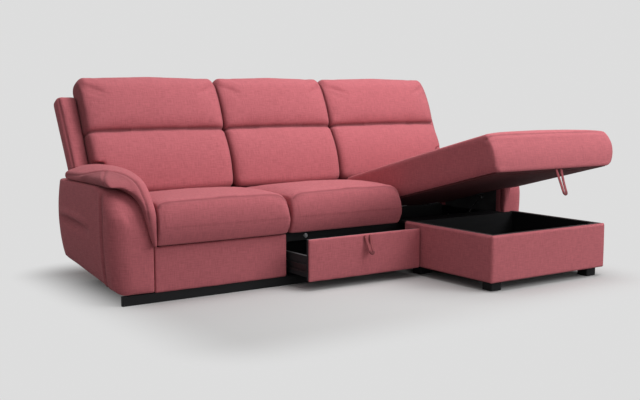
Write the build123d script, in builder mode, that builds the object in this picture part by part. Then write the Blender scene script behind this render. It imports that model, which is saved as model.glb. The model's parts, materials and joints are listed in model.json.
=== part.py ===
"""Corner sofa with a lift-up chaise seat over a storage box and a pull-out drawer under the middle seat.

X runs along the sofa to the right, Y to the back, Z up from the floor; the chaise is on the right.
Rest is the pictured pose: the chaise seat raised on its struts and the drawer pulled part of the way out.
"""
import math
import os

from build123d import *

# Widths, left to right
WIDTH = 2652              # over the bulge of both arms
ARM_WIDTH = 212           # inner face of an arm to its bulge
LEFT_SEAT = 735           # width of the left seat
MIDDLE_SEAT = 723         # width of the middle seat
BOX_OVERLAP = 67          # how far the storage box reaches past the inner face of the right arm
LID_OVERLAP = 4           # chaise cushion past the right side of the box
BACK_OVERLAP = 53         # how far the left back cushion reaches over its arm
RIGHT_OVERLAP = 58        # the same on the right
BACK_SHIFT = 16           # divisions of the back cushions to the right of the seat divisions
WING_REACH = 95           # width of the left back wing beyond its cushion
RIGHT_REACH = 56          # width of the right one
ARM_TAPER = 34            # how far the bulge stands out over the arm's hem
ARM_CORNER = 40           # round outer corner at the front of an arm, seen from above
PAD_CORNER = 66           # the same corner of the arm pad

# Depths, front to back
BODY_FRONT = -58.36       # front face of the sofa body
BODY_DEPTH = 730          # body front to the outer back below its knee
CHAISE_REACH = 724        # storage box in front of the body
CHAISE_GAP = 52           # storage box to the body front, which clears the arm roll
HINGE_SETBACK = 480       # body front to the hinge axis of the chaise lid
LID_LENGTH = 1266         # hinge axis to the lower front edge of the chaise cushion
SEAT_OVERHANG = 34        # seat cushions in front of the body
SEAT_DEPTH = 572          # seat cushion, lower front edge to its back

# Heights
HEM = 46                  # lower edge of the cover, top of plinth and feet
ARM_REAR_HEM = 136        # lower edge of the arm at its back end
RAIL_TOP = 268            # top of the seat rails
RIM = 284                 # top of the storage box
PANEL_TOP = 266           # top of the left front panel
DRAWER_TOP = 262          # top of the drawer front
SEAT_EDGE = 484           # welt of the seat cushions
SEAT_CROWN = 16           # rise of a cushion's middle over its welt
ARM_DECK = 545            # arm body under the pad
ARM_PAD = 79              # arm pad over the arm body
KNEE_DROP = 5             # knee of the outer back, where it starts to lean, under the top of the arm body
LID_THICK = 205           # chaise cushion over the lid's underside

# Back
BACK_LEAN = 25.5          # lean of the back from upright, degrees
BACK_FOOT = -148          # lower end of a back cushion, measured along the lean from the knee
BACK_SEAM = 193           # sewn channel between lumbar part and head part
BACK_TOP = 514            # upper end of a back cushion
WING_TOP = 424            # upper end of the wings
BACK_THICK = 178          # outer back face to the lumbar part under the channel
HEAD_OUT = 12             # head part in front of the lumbar part
CHANNEL_DEPTH = 30        # depth of the sewn channel
WING_THICK = 104          # outer back face to the front of a wing
WING_FOOT = 16            # lower end of wings and upper back panel, above the knee

# Moving parts at rest
LID_OPEN = 14.3           # chaise lid above its closed place, degrees
DRAWER_OPEN = 194         # drawer front ahead of the body front
STRAP_LEAN = 24           # drawer loop off the upright, degrees

# Stock
BOARD = 22                # frame boards
PLY = 12                  # drawer front board and box floor
LINING = 6                # outer back panels and drawer bottom
WELL_LINING = 164         # height of the lining beside the well, over the seat rails
PAD = 16                  # foam and cover on the storage box
RIM_CAP = 4               # cover over the box rim
PANEL = 30                # upholstered front panels, board and padding
LID_BOARD = 18            # board in the chaise lid
WEB = 3                   # elastic webbing
WEB_WIDTH = 50
POST = 36                 # depth of back posts and rails
SIDE_PLY = 15             # drawer sides and back
DRAWER_FOOT = 62          # lower edge of the drawer sides
DRAWER_SIDE_TOP = 170     # upper edge of the drawer sides
DRAWER_LENGTH = 510       # drawer sides, front to back
RUNNER = 13.5             # room for a runner beside the drawer
RUNNER_HEIGHT = 45
RUNNER_LENGTH = 480
FOOT = 69                 # square feet of the storage box
PLINTH_SETBACK = 12       # plinth behind the body front
STRAP_LONG = 108          # drawer loop
LID_STRAP_LONG = 142      # lid loop
STRAP_WIDE = 34           # both legs and the slit of a loop
STRAP_SLIT = 3.5
STRAP_THICK = 4
PIN_RADIUS = 3            # lid hinge pins
KNUCKLE_RADIUS = 6
KNUCKLE_LONG = 24
LEAF = 3                  # hinge leaf plates
LEAF_REACH = 38
CYLINDER_RADIUS = 9       # gas struts
ROD_RADIUS = 4
STUD_RADIUS = 4
EYE_PLAY = 1.8            # room of a strut rod's eye on the lid stud
STRUT_INSET = 24          # strut axis beside the wall of the well
STRUT_FOOT = (-120, -180)  # lower strut pivot from the hinge axis: depth, height
STRUT_HEAD = (-370, -22)   # upper strut pivot on the lid, from the hinge axis

FIT = 0.3                 # clearance between neighbours
REST_GAP = 0.5            # closed lid over the rim of the box
SLACK = 3                 # clearance between upholstered neighbours

# Derived places
ARM_IN = WIDTH / 2 - ARM_WIDTH
ARM_PAD_TOP = ARM_DECK + ARM_PAD
KNEE_Z = ARM_DECK - KNEE_DROP
SEAT_1 = -ARM_IN + LEFT_SEAT
SEAT_2 = SEAT_1 + MIDDLE_SEAT
BODY_REAR = BODY_FRONT + BODY_DEPTH
BOX_LEFT = SEAT_2 + SLACK
BOX_RIGHT = ARM_IN + BOX_OVERLAP
BOX_FRONT = BODY_FRONT - CHAISE_REACH
BOX_REAR = BODY_FRONT - CHAISE_GAP
DECK = RAIL_TOP + WEB
FRAME_FRONT = BODY_FRONT + PANEL + 2
POST_FRONT = BODY_REAR - LINING - POST
HINGE_Y = BODY_FRONT + HINGE_SETBACK
HINGE_Z = RIM + 2 + REST_GAP
CUSHION_REAR = LINING + POST + WEB
BACK_EDGE = ARM_IN + BACK_OVERLAP
RIGHT_EDGE = ARM_IN + RIGHT_OVERLAP
FRAME_TOP = WING_TOP - 24
WELL_LEFT = SEAT_2 + BOARD / 2
WELL_RIGHT = ARM_IN - BOARD

LEAN = math.radians(BACK_LEAN)
BACK_PLANE = Plane(
    origin=(0, BODY_REAR, KNEE_Z),
    x_dir=(1, 0, 0),
    z_dir=(0, -math.cos(LEAN), math.sin(LEAN)),
)
LIFT = math.radians(LID_OPEN)
LID_PLANE = Plane(origin=(0, HINGE_Y, HINGE_Z), x_dir=(1, 0, 0), z_dir=(0, math.sin(LIFT), math.cos(LIFT)))
DRAWER_PLANE = Plane.XY.move(Location((0, -DRAWER_OPEN, 0)))

pieces = {}


def keep(name, part):
    """Files one finished piece under its node name."""
    part.label = name
    pieces[name] = part


def across(x, base=Plane.XY):
    """Upright plane across the width at x: its x runs to the back of the base, its y up from it."""
    return Plane(origin=base.from_local_coords(Vector(x, 0, 0)), x_dir=base.y_dir, z_dir=base.x_dir)


def facing(y, base=Plane.XY):
    """Plane that faces the front at depth y of the base: its x runs to the right, its y up."""
    return Plane(origin=base.from_local_coords(Vector(0, y, 0)), x_dir=base.x_dir, z_dir=-base.y_dir)


def slab(x0, x1, y0, y1, z0, z1, base=Plane.XY, edge=0.0):
    """Straight-sided board between its limits, its upright corners eased when an edge is given."""
    with BuildPart() as board:
        with BuildSketch(base.offset(z0)):
            with Locations(((x0 + x1) / 2, (y0 + y1) / 2)):
                Rectangle(x1 - x0, y1 - y0)
        extrude(amount=z1 - z0)
        if edge:
            chamfer(board.edges().filter_by(Axis(base.origin, base.z_dir)), edge)
    return board.part


def group(*solids):
    """Several separate solids that share one node."""
    return Compound(children=list(solids))


# Plinth: dark boards set back under the cover
plinth_front = BODY_FRONT + PLINTH_SETBACK
plinth_side = ARM_IN
plinth_left = ARM_IN + ARM_WIDTH - ARM_TAPER - 20
keep("plinth_boards", group(
    slab(-plinth_left, BOX_LEFT, plinth_front, plinth_front + BOARD, 0, HEM, edge=2),
    slab(-plinth_side, plinth_side, POST_FRONT - BOARD, POST_FRONT, 0, HEM, edge=2),
    slab(-plinth_side, -plinth_side + BOARD, plinth_front + BOARD, POST_FRONT - BOARD, 0, HEM),
    slab(plinth_side - BOARD, plinth_side, plinth_front + BOARD, POST_FRONT - BOARD, 0, HEM),
))

# Base frame: boards on edge under the seats
rear_rail_front = POST_FRONT - BOARD
keep("base_rear_rail", slab(-ARM_IN + BOARD, ARM_IN - BOARD, rear_rail_front, POST_FRONT, HEM, RAIL_TOP))


BOLT_RADIUS = 4
HEAD_RADIUS = 9
HEAD_HIGH = 5
WASHER = 2
ARM_BOLTS = [(FRAME_FRONT + (rear_rail_front - FRAME_FRONT) * share, RAIL_TOP - 60) for share in (0.18, 0.62)]


def side_board(x, bolted):
    """Upright board from front to back, centred on x, its lower corners eased; outer ones are drilled."""
    with BuildPart() as board:
        with BuildSketch(across(x - BOARD / 2)):
            with Locations(((FRAME_FRONT + rear_rail_front) / 2, (HEM + RAIL_TOP) / 2)):
                Rectangle(rear_rail_front - FRAME_FRONT, RAIL_TOP - HEM)
            if bolted:
                with Locations(*ARM_BOLTS):
                    Circle(BOLT_RADIUS, mode=Mode.SUBTRACT)
        extrude(amount=BOARD)
        chamfer(board.edges().filter_by(Axis.X).group_by(Axis.Z)[0], 8)
    return board.part


keep("base_side_boards", group(
    side_board(-ARM_IN + BOARD / 2, True),
    side_board(SEAT_1, False),
    side_board(SEAT_2, False),
    side_board(ARM_IN - BOARD / 2, True),
))
keep("base_front_rails", group(*[
    slab(x0, x1, FRAME_FRONT, FRAME_FRONT + BOARD, HEM, RAIL_TOP)
    for x0, x1 in ((-ARM_IN + BOARD, SEAT_1 - BOARD / 2), (WELL_LEFT, WELL_RIGHT))
]))

header_foot = DRAWER_SIDE_TOP + 52
bolt_height = (header_foot + RAIL_TOP) / 2
HEADER_BOLTS = [(SEAT_1 + MIDDLE_SEAT * share, bolt_height) for share in (0.18,)]
with BuildPart() as header:
    with BuildSketch(facing(FRAME_FRONT + BOARD)):
        with Locations(((SEAT_1 + SEAT_2) / 2, bolt_height)):
            Rectangle(MIDDLE_SEAT - BOARD, RAIL_TOP - header_foot)
    extrude(amount=BOARD)
    with BuildSketch(facing(FRAME_FRONT + BOARD)):
        with Locations(*HEADER_BOLTS):
            Circle(BOLT_RADIUS)
    extrude(amount=BOARD, mode=Mode.SUBTRACT)
keep("drawer_header_rail", header.part)


def frame_bolt(plane, spot, way=1):
    """Hexagon bolt with a washer: the head on the plane, the shank through the board behind it."""
    head_plane = plane.offset(way * WASHER)
    with BuildPart() as bolt:
        with BuildSketch(plane):
            with Locations(spot):
                Circle(HEAD_RADIUS + 3)
        extrude(amount=way * WASHER)
        with BuildSketch(head_plane):
            with Locations(spot):
                RegularPolygon(HEAD_RADIUS, 6)
        extrude(amount=way * HEAD_HIGH)
        with BuildSketch(plane):
            with Locations(spot):
                Circle(BOLT_RADIUS - FIT / 2)
        extrude(amount=-way * BOARD)
    return bolt.part


keep("dust_cover", slab(-ARM_IN + BOARD, ARM_IN - BOARD, plinth_front + BOARD, rear_rail_front, HEM - 2, HEM))


def corner_block(x, y, right, back):
    """Triangular block glued into a corner of the base frame; right and back say where its boards meet."""
    reach = 70
    with BuildPart() as block:
        with BuildSketch(Plane.XY.offset((HEM + RAIL_TOP) / 2 - 11)):
            with BuildLine():
                Polyline((x, y), (x + right * reach, y), (x, y + back * reach), close=True)
            make_face()
        extrude(amount=40)
    return block.part


keep("corner_blocks", group(
    corner_block(-ARM_IN + BOARD, FRAME_FRONT + BOARD, 1, 1),
    corner_block(SEAT_1 - BOARD / 2, FRAME_FRONT + BOARD, -1, 1),
    corner_block(-ARM_IN + BOARD, rear_rail_front, 1, -1),
    corner_block(SEAT_1 - BOARD / 2, rear_rail_front, -1, -1),
    corner_block(WELL_LEFT, rear_rail_front, 1, -1),
    corner_block(WELL_RIGHT, rear_rail_front, -1, -1),
))


def seat_straps(x0, x1, count):
    """Elastic straps from the front rail to the rear rail of one seat."""
    pitch = (x1 - x0) / count
    return [
        slab(x0 + pitch * (i + 0.5) - WEB_WIDTH / 2, x0 + pitch * (i + 0.5) + WEB_WIDTH / 2,
             FRAME_FRONT, POST_FRONT - FIT, RAIL_TOP, DECK)
        for i in range(count)
    ]


keep("seat_webbing", group(
    *seat_straps(-ARM_IN + BOARD, SEAT_1 - BOARD / 2, 6),
    *seat_straps(SEAT_1 + BOARD / 2, SEAT_2 - BOARD / 2, 6),
))


def padded_front(x0, x1, z0, z1, base=Plane.XY):
    """Upholstered panel on its board: padding with a gently bulged face and rounded edges."""
    front = BODY_FRONT
    middle = (x0 + x1) / 2
    with BuildPart() as padding:
        with BuildSketch(base.offset(z0)):
            with BuildLine():
                Line((x0, front + PANEL - PLY), (x1, front + PANEL - PLY))
                Line((x1, front + PANEL - PLY), (x1, front + 4))
                ThreePointArc((x1, front + 4), (middle, front), (x0, front + 4))
                Line((x0, front + 4), (x0, front + PANEL - PLY))
            make_face()
        extrude(amount=z1 - z0)
        fillet(padding.faces().sort_by(Axis.Y)[0].edges(), 7)
    return padding.part


# Left front panel under the left seat
panel_left = -ARM_IN + SLACK
panel_right = SEAT_1 - SLACK
keep("left_front_padding", padded_front(panel_left, panel_right, HEM, PANEL_TOP))
keep("left_front_board", slab(panel_left + 4, panel_right - 4, BODY_FRONT + PANEL - PLY, FRAME_FRONT,
                              HEM + 4, PANEL_TOP - 4))


# Ends of a seat cushion: share of the width, inset of the nose, drop of the top, share of the crown
SQUARE_END = [(0, 8, 16, 0.2), (0.01, 4, 9, 0.25), (0.03, 2, 4, 0.3), (0.08, 1, 1, 0.5)]
SOFT_END = [(0, 14, 34, 0.1), (0.008, 9, 23, 0.1), (0.024, 5, 13, 0.2), (0.05, 2, 6, 0.3), (0.09, 1, 2, 0.5)]
ROUND_END = [
    (0, 26, 92, 0),
    (0.008, 16, 60, 0),
    (0.024, 9, 35, 0),
    (0.05, 4, 15, 0.1),
    (0.09, 2, 4, 0.3),
    (0.16, 1, 0, 0.6),
]


def seat_profile(x, inset, drop, crown):
    """Outline of a seat cushion at x: flat below, bulged nose, welt, crowned top, leaning back."""
    nose = BODY_FRONT - SEAT_OVERHANG + inset
    rear = BODY_FRONT - SEAT_OVERHANG + SEAT_DEPTH
    rise = crown * SEAT_CROWN / 2
    top = SEAT_EDGE - drop + rise
    low = DECK
    with BuildSketch(across(x)) as outline:
        with BuildLine():
            Line((rear - 40, low), (nose + 14, low))
            ThreePointArc((nose + 14, low), (nose + 4, low + 4), (nose, low + 14))
            ThreePointArc((nose, low + 14), (nose - 24, (low + top) / 2), (nose - 6, top - 26))
            ThreePointArc((nose - 6, top - 26), (nose + 4, top - 8), (nose + 24, top))
            ThreePointArc((nose + 24, top), ((nose + rear) / 2, top + rise - 4), (rear - 30, top - 24))
            ThreePointArc((rear - 30, top - 24), (rear - 9, top - 33), (rear, top - 54))
            Line((rear, top - 54), (rear - 40, low))
        make_face()
    return outline.sketch


def seat_cushion(x0, x1, left_end):
    """Boxed seat cushion: a loft across its width with a crown in the middle and a round right end."""
    stations = left_end + [(0.5, 0, 0, 1)] + [(1 - t, *section) for t, *section in reversed(ROUND_END)]
    with BuildPart() as cushion:
        loft([seat_profile(x0 + (x1 - x0) * t, *section) for t, *section in stations], ruled=True)
    return cushion.part


keep("left_seat_cushion", seat_cushion(-ARM_IN + SLACK, SEAT_1 - SLACK, SQUARE_END))
keep("middle_seat_cushion", seat_cushion(SEAT_1 + SLACK, SEAT_2 - SLACK, SOFT_END))

# Arms: built on the left and mirrored to the right
ARM_OUT = WIDTH / 2
ARM_FOOT = ARM_OUT - ARM_TAPER
ARM_REAR = BODY_REAR
ARM_INNER = ARM_IN + FIT


def arm_profile(y, inset):
    """Cross-section of the left arm at depth y: upright inside, bulged outside, hem rising to the back."""
    share = (y - BODY_FRONT) / (ARM_REAR - BODY_FRONT)
    foot = HEM + (ARM_REAR_HEM - HEM) * share
    top = ARM_DECK
    with BuildSketch(facing(y)) as section:
        with BuildLine():
            Line((-ARM_INNER, foot), (-ARM_INNER, top))
            Line((-ARM_INNER, top), (-ARM_OUT + 14 + inset, top))
            ThreePointArc((-ARM_OUT + 14 + inset, top), (-ARM_OUT + inset, (foot + top) * 0.58),
                          (-ARM_FOOT - 8 + inset, foot + 24))
            ThreePointArc((-ARM_FOOT - 8 + inset, foot + 24), (-ARM_FOOT + inset, foot + 8),
                          (-ARM_FOOT + 18 + inset, foot))
            Line((-ARM_FOOT + 18 + inset, foot), (-ARM_INNER, foot))
        make_face()
    return section.sketch


# Roll of the arm pad over the front of the arm, seen from the side
ROLL = 42                 # thickness of the roll in front of the arm
# Points of the pad's outline: distance behind the body front, drop below the pad's top
PAD_LINE = [(390, 0), (180, 22), (50, 74), (-10, 139), (-ROLL, 224)]
# Points of the arm under the roll: distance behind the body front, drop below the arm deck
UNDER_LINE = [(250, 0), (170, 10), (80, 45), (22, 105), (0, 185)]
roll_front = BODY_FRONT - ROLL
deck_front = (BODY_FRONT + UNDER_LINE[0][0], ARM_DECK)
roll_foot = (BODY_FRONT, ARM_DECK - UNDER_LINE[-1][1])


def rolled_line(line, top):
    """Smooth side outline that turns from level to upright, through its points below the given top."""
    Spline(*[(BODY_FRONT + back, top - drop) for back, drop in line], tangents=[(-1, 0), (0, -1)])


def arm_plan(outer, front, corner):
    """Plan of the left arm, seen from above: straight inside, its outer front corner rounded."""
    with BuildSketch(Plane.XY) as plan:
        with Locations((-(ARM_IN + outer) / 2, (front + ARM_REAR) / 2)):
            Rectangle(outer - ARM_IN, ARM_REAR - front)
        fillet(plan.vertices().sort_by(Axis.Y)[0:2].sort_by(Axis.X)[0], corner)
    return plan.sketch


CORE_IN = ARM_IN + BOARD
CORE_OUT = ARM_FOOT - BOARD
CORE_FRONT = BODY_FRONT + 190
CORE_REAR = ARM_REAR - BOARD
CORE_FOOT = ARM_REAR_HEM + BOARD
CORE_TOP = ARM_DECK - BOARD
with BuildPart() as left_arm:
    arm_span = ARM_REAR - BODY_FRONT
    arm_stations = [(0, 4), (0.05, 1), (0.12, 0), (0.5, -2), (0.9, 0), (0.97, 5), (1, 18)]
    loft([arm_profile(BODY_FRONT + arm_span * t, inset) for t, inset in arm_stations], ruled=True)
    with BuildSketch(across(-ARM_OUT - 10)):
        with BuildLine():
            rolled_line(UNDER_LINE, ARM_DECK)
            Polyline(roll_foot, (roll_foot[0] - 50, roll_foot[1]), (roll_foot[0] - 50, ARM_PAD_TOP),
                     (deck_front[0], ARM_PAD_TOP), deck_front)
        make_face()
    extrude(amount=ARM_WIDTH + 20, mode=Mode.SUBTRACT)
    extrude(arm_plan(ARM_OUT + 4, BODY_FRONT, ARM_CORNER), amount=ARM_PAD_TOP, mode=Mode.INTERSECT)
    with BuildSketch(Plane.XY.offset(CORE_FOOT)):
        with Locations((-(CORE_IN + CORE_OUT) / 2, (CORE_FRONT + CORE_REAR) / 2)):
            Rectangle(CORE_OUT - CORE_IN, CORE_REAR - CORE_FRONT)
    extrude(amount=CORE_TOP - CORE_FOOT, mode=Mode.SUBTRACT)
keep("left_arm_cover", left_arm.part)


def arm_frame(side):
    """Plywood frame inside an arm: two cheeks, a top and two ends; side is -1 on the left."""
    def span(near, far):
        return (min(side * near, side * far), max(side * near, side * far))

    cheeks = [span(CORE_OUT - PLY, CORE_OUT), span(CORE_IN, CORE_IN + PLY)]
    between = span(CORE_IN + PLY, CORE_OUT - PLY)
    boards = [slab(*cheek, CORE_FRONT, CORE_REAR, CORE_FOOT, CORE_TOP) for cheek in cheeks]
    boards.append(slab(*between, CORE_FRONT, CORE_REAR, CORE_TOP - BOARD, CORE_TOP))
    boards.append(slab(*between, CORE_FRONT, CORE_FRONT + BOARD, CORE_FOOT, CORE_TOP - BOARD))
    boards.append(slab(*between, CORE_REAR - BOARD, CORE_REAR, CORE_FOOT, CORE_TOP - BOARD))
    return boards


keep("arm_frames", group(*arm_frame(-1), *arm_frame(1)))

# Arm pad: lies on the arm, rolls over its front and narrows down the inner edge
PAD_REAR = BODY_REAR - 96
PAD_TIP = RAIL_TOP - 2
PAD_OUT = ARM_OUT - 12
with BuildPart() as left_pad:
    with BuildSketch(across(-PAD_OUT)):
        with BuildLine():
            Line((PAD_REAR, ARM_DECK), (PAD_REAR, ARM_PAD_TOP - 34))
            ThreePointArc((PAD_REAR, ARM_PAD_TOP - 34), (PAD_REAR - 12, ARM_PAD_TOP - 13),
                          (PAD_REAR - 36, ARM_PAD_TOP - 5))
            pad_level = (BODY_FRONT + PAD_LINE[0][0], ARM_PAD_TOP)
            pad_upright = (roll_front, ARM_PAD_TOP - PAD_LINE[-1][1])
            ThreePointArc((PAD_REAR - 36, ARM_PAD_TOP - 5),
                          ((PAD_REAR - 36 + pad_level[0]) / 2, ARM_PAD_TOP - 1), pad_level)
            rolled_line(PAD_LINE, ARM_PAD_TOP)
            Line(pad_upright, (roll_front + 6, PAD_TIP))
            Line((roll_front + 6, PAD_TIP), (BODY_FRONT, PAD_TIP))
            Line((BODY_FRONT, PAD_TIP), roll_foot)
            rolled_line(UNDER_LINE, ARM_DECK)
            Line(deck_front, (PAD_REAR, ARM_DECK))
        make_face()
    extrude(amount=PAD_OUT - ARM_IN + 2)
    with BuildSketch(facing(PAD_REAR)):
        with BuildLine():
            inner = -ARM_IN + 2
            Line((inner, PAD_TIP), (inner, ARM_PAD_TOP - 26))
            ThreePointArc((inner, ARM_PAD_TOP - 26), (inner - 8, ARM_PAD_TOP - 8), (inner - 26, ARM_PAD_TOP))
            ThreePointArc((inner - 26, ARM_PAD_TOP), (inner - 100, ARM_PAD_TOP - 4),
                          (-PAD_OUT + 24, ARM_PAD_TOP - 30))
            ThreePointArc((-PAD_OUT + 24, ARM_PAD_TOP - 30), (-PAD_OUT, ARM_DECK + 32),
                          (-PAD_OUT + 14, ARM_DECK))
            Line((-PAD_OUT + 14, ARM_DECK), (inner - 148, ARM_DECK))
            ThreePointArc((inner - 148, ARM_DECK), (inner - 96, ARM_DECK - 26), (inner - 64, ARM_DECK - 82))
            ThreePointArc((inner - 64, ARM_DECK - 82), (inner - 44, ARM_DECK - 170), (inner - 10, PAD_TIP))
            Line((inner - 10, PAD_TIP), (inner, PAD_TIP))
        make_face()
    extrude(amount=PAD_REAR - BODY_FRONT + ROLL, mode=Mode.INTERSECT)
    extrude(arm_plan(PAD_OUT, roll_front, PAD_CORNER), amount=ARM_PAD_TOP + ROLL, mode=Mode.INTERSECT)
keep("left_arm_pad", left_pad.part)

for name in ("arm_cover", "arm_pad"):
    with BuildPart() as right_copy:
        mirror(pieces["left_" + name], about=Plane.YZ)
    keep("right_" + name, right_copy.part)


keep("frame_bolts", group(
    *[frame_bolt(facing(FRAME_FRONT), spot) for spot in HEADER_BOLTS],
    *[frame_bolt(across(side * (ARM_IN - BOARD)), spot, -side) for side in (-1, 1) for spot in ARM_BOLTS],
))

# Back frame: four bent posts, rails between them, webbing over their front
POST_WIDE = 30
POST_XS = [-ARM_IN + POST_WIDE / 2 + 2, SEAT_1, SEAT_2, ARM_IN - POST_WIDE / 2 - 2]


def lean_point(along, out):
    """Depth and height of a point of the leaning back: distance up the lean and out to the front."""
    spot = BACK_PLANE.from_local_coords(Vector(0, along, out))
    return (spot.Y, spot.Z)


def back_post(x):
    """Post sawn from one board: upright to the knee, then leaning back."""
    outer_foot = (BODY_REAR - LINING, HEM)
    knee_out = LINING * math.tan(LEAN / 2)
    with BuildPart() as post:
        with BuildSketch(across(x - POST_WIDE / 2)):
            with BuildLine():
                Polyline(
                    outer_foot,
                    (BODY_REAR - LINING, KNEE_Z + knee_out),
                    lean_point(FRAME_TOP - LINING, LINING),
                    lean_point(FRAME_TOP - LINING, LINING + POST),
                    (POST_FRONT, KNEE_Z + (LINING + POST) * math.tan(LEAN / 2)),
                    (POST_FRONT, HEM),
                    close=True,
                )
            make_face()
        extrude(amount=POST_WIDE)
    return post.part


keep("back_posts", group(*[back_post(x) for x in POST_XS]))


def post_spans():
    """Left and right limits of the rails between neighbouring posts."""
    return [(a + POST_WIDE / 2, b - POST_WIDE / 2) for a, b in zip(POST_XS, POST_XS[1:])]


RAIL_DEEP = 60
keep("back_rails", group(*[
    slab(a, b, low, low + RAIL_DEEP, LINING, LINING + POST, BACK_PLANE)
    for low in (40, FRAME_TOP - LINING - RAIL_DEEP)
    for a, b in post_spans()
]))
WEB_ROWS = 6
web_pitch = (FRAME_TOP - LINING - 70) / (WEB_ROWS - 1)
keep("back_webbing", group(*[
    slab(POST_XS[0] - POST_WIDE / 2, POST_XS[-1] + POST_WIDE / 2,
         40 + web_pitch * i - WEB_WIDTH / 2, 40 + web_pitch * i + WEB_WIDTH / 2,
         LINING + POST, CUSHION_REAR, BACK_PLANE)
    for i in range(WEB_ROWS)
]))
keep("outer_back_upper", slab(-BACK_EDGE - WING_REACH + 34, RIGHT_EDGE + RIGHT_REACH - 34, WING_FOOT,
                              FRAME_TOP, 0, LINING, BACK_PLANE, edge=10))
keep("outer_back_lower", slab(-ARM_IN + FIT, ARM_IN - FIT, BODY_REAR - LINING, BODY_REAR,
                              HEM + 6, KNEE_Z - FIT))


# Share of the width and inset of the sections of a back cushion
HALF_BACK = [(0, 32), (0.012, 18), (0.035, 8), (0.08, 3), (0.18, 0), (0.5, -4)]
BACK_STATIONS = HALF_BACK + [(1 - t, inset) for t, inset in reversed(HALF_BACK[:-1])]


def back_profile(x, inset):
    """Outline of a back cushion at x: flat behind, bulged lumbar part, sewn channel, rolled head part."""
    front = BACK_THICK - inset
    head = front + HEAD_OUT
    foot = BACK_FOOT + inset
    top = BACK_TOP - inset
    groove = front - CHANNEL_DEPTH
    with BuildSketch(across(x, BACK_PLANE)) as outline:
        with BuildLine():
            Line((foot + 52, CUSHION_REAR), (top - 40, CUSHION_REAR))
            ThreePointArc((top - 40, CUSHION_REAR), (top - 9, CUSHION_REAR + 18), (top, CUSHION_REAR + 48))
            ThreePointArc((top, CUSHION_REAR + 48), (top - 16, head - 18), (top - 58, head))
            ThreePointArc((top - 58, head), (BACK_SEAM + 96, head + 2), (BACK_SEAM + 38, head - 6))
            ThreePointArc((BACK_SEAM + 38, head - 6), (BACK_SEAM + 11, head - 18), (BACK_SEAM, groove))
            ThreePointArc((BACK_SEAM, groove), (BACK_SEAM - 12, front - 11), (BACK_SEAM - 40, front - 2))
            ThreePointArc((BACK_SEAM - 40, front - 2), ((BACK_SEAM + foot) / 2, front + 3),
                          (foot + 44, front - 22))
            ThreePointArc((foot + 44, front - 22), (foot + 10, front - 38), (foot, front - 72))
            Line((foot, front - 72), (foot + 52, CUSHION_REAR))
        make_face()
    return outline.sketch


def back_cushion(x0, x1, notch_side=0):
    """Back cushion lofted across its width, with drawn-in ends; an outer one is cut to sit over its arm."""
    with BuildPart() as cushion:
        loft([back_profile(x0 + (x1 - x0) * t, inset) for t, inset in BACK_STATIONS], ruled=True)
        if notch_side:
            pad_end = PAD_REAR + SLACK
            over_pad = ARM_PAD_TOP + 2 * SLACK
            over_deck = ARM_DECK + SLACK
            with BuildSketch(across(notch_side * (ARM_IN - SLACK))):
                with BuildLine():
                    Polyline(
                        (BODY_FRONT, HEM),
                        (BODY_FRONT, over_pad),
                        (pad_end, over_pad),
                        (pad_end, over_deck),
                        (BODY_REAR + BODY_DEPTH, over_deck),
                        (BODY_REAR + BODY_DEPTH, HEM),
                        close=True,
                    )
                make_face()
            extrude(amount=notch_side * ARM_WIDTH, mode=Mode.SUBTRACT)
    return cushion.part


keep("left_back_cushion", back_cushion(-BACK_EDGE, SEAT_1 + BACK_SHIFT - SLACK, -1))
keep("middle_back_cushion", back_cushion(SEAT_1 + BACK_SHIFT + SLACK, SEAT_2 + BACK_SHIFT - SLACK))
keep("right_back_cushion", back_cushion(SEAT_2 + BACK_SHIFT + SLACK, RIGHT_EDGE, 1))


# Wings: padded sides of the back, stepped so that the outer cushions lie in them
def back_wing(side, edge, reach, soft):
    """Wing beside the cushion edge on one side (-1 left, 1 right), its outer edges and top rounded."""
    far = edge + reach
    lean_axis = Axis(BACK_PLANE.origin, BACK_PLANE.y_dir)
    outward = Axis.X if side > 0 else Axis((0, 0, 0), (-1, 0, 0))
    with BuildPart() as wing:
        with BuildSketch(Plane(origin=BACK_PLANE.from_local_coords(Vector(0, WING_FOOT, 0)),
                               x_dir=BACK_PLANE.x_dir, z_dir=BACK_PLANE.y_dir)):
            with BuildLine():
                Polyline(
                    (side * (ARM_IN - FIT), -LINING),
                    (side * far, -LINING),
                    (side * far, -WING_THICK),
                    (side * (edge + SLACK), -WING_THICK),
                    (side * (edge + SLACK), -CUSHION_REAR + FIT),
                    (side * (ARM_IN - FIT), -CUSHION_REAR + FIT),
                    close=True,
                )
            make_face()
        extrude(amount=WING_TOP - WING_FOOT)
        fillet(wing.edges().filter_by(lean_axis).sort_by(outward)[-2:], soft)
        fillet(wing.faces().sort_by(lean_axis)[-1].edges().sort_by(outward)[-3:], 0.8 * soft)
        with BuildSketch(Plane.XY):
            with Locations((side * (ARM_IN + ARM_WIDTH / 2), BODY_REAR - 100)):
                Rectangle(2 * ARM_WIDTH, 600)
        extrude(amount=ARM_DECK + FIT, mode=Mode.SUBTRACT)
    return wing.part


keep("left_back_wing", back_wing(-1, BACK_EDGE, WING_REACH, 30))
keep("right_back_wing", back_wing(1, RIGHT_EDGE, RIGHT_REACH, 18))

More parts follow.
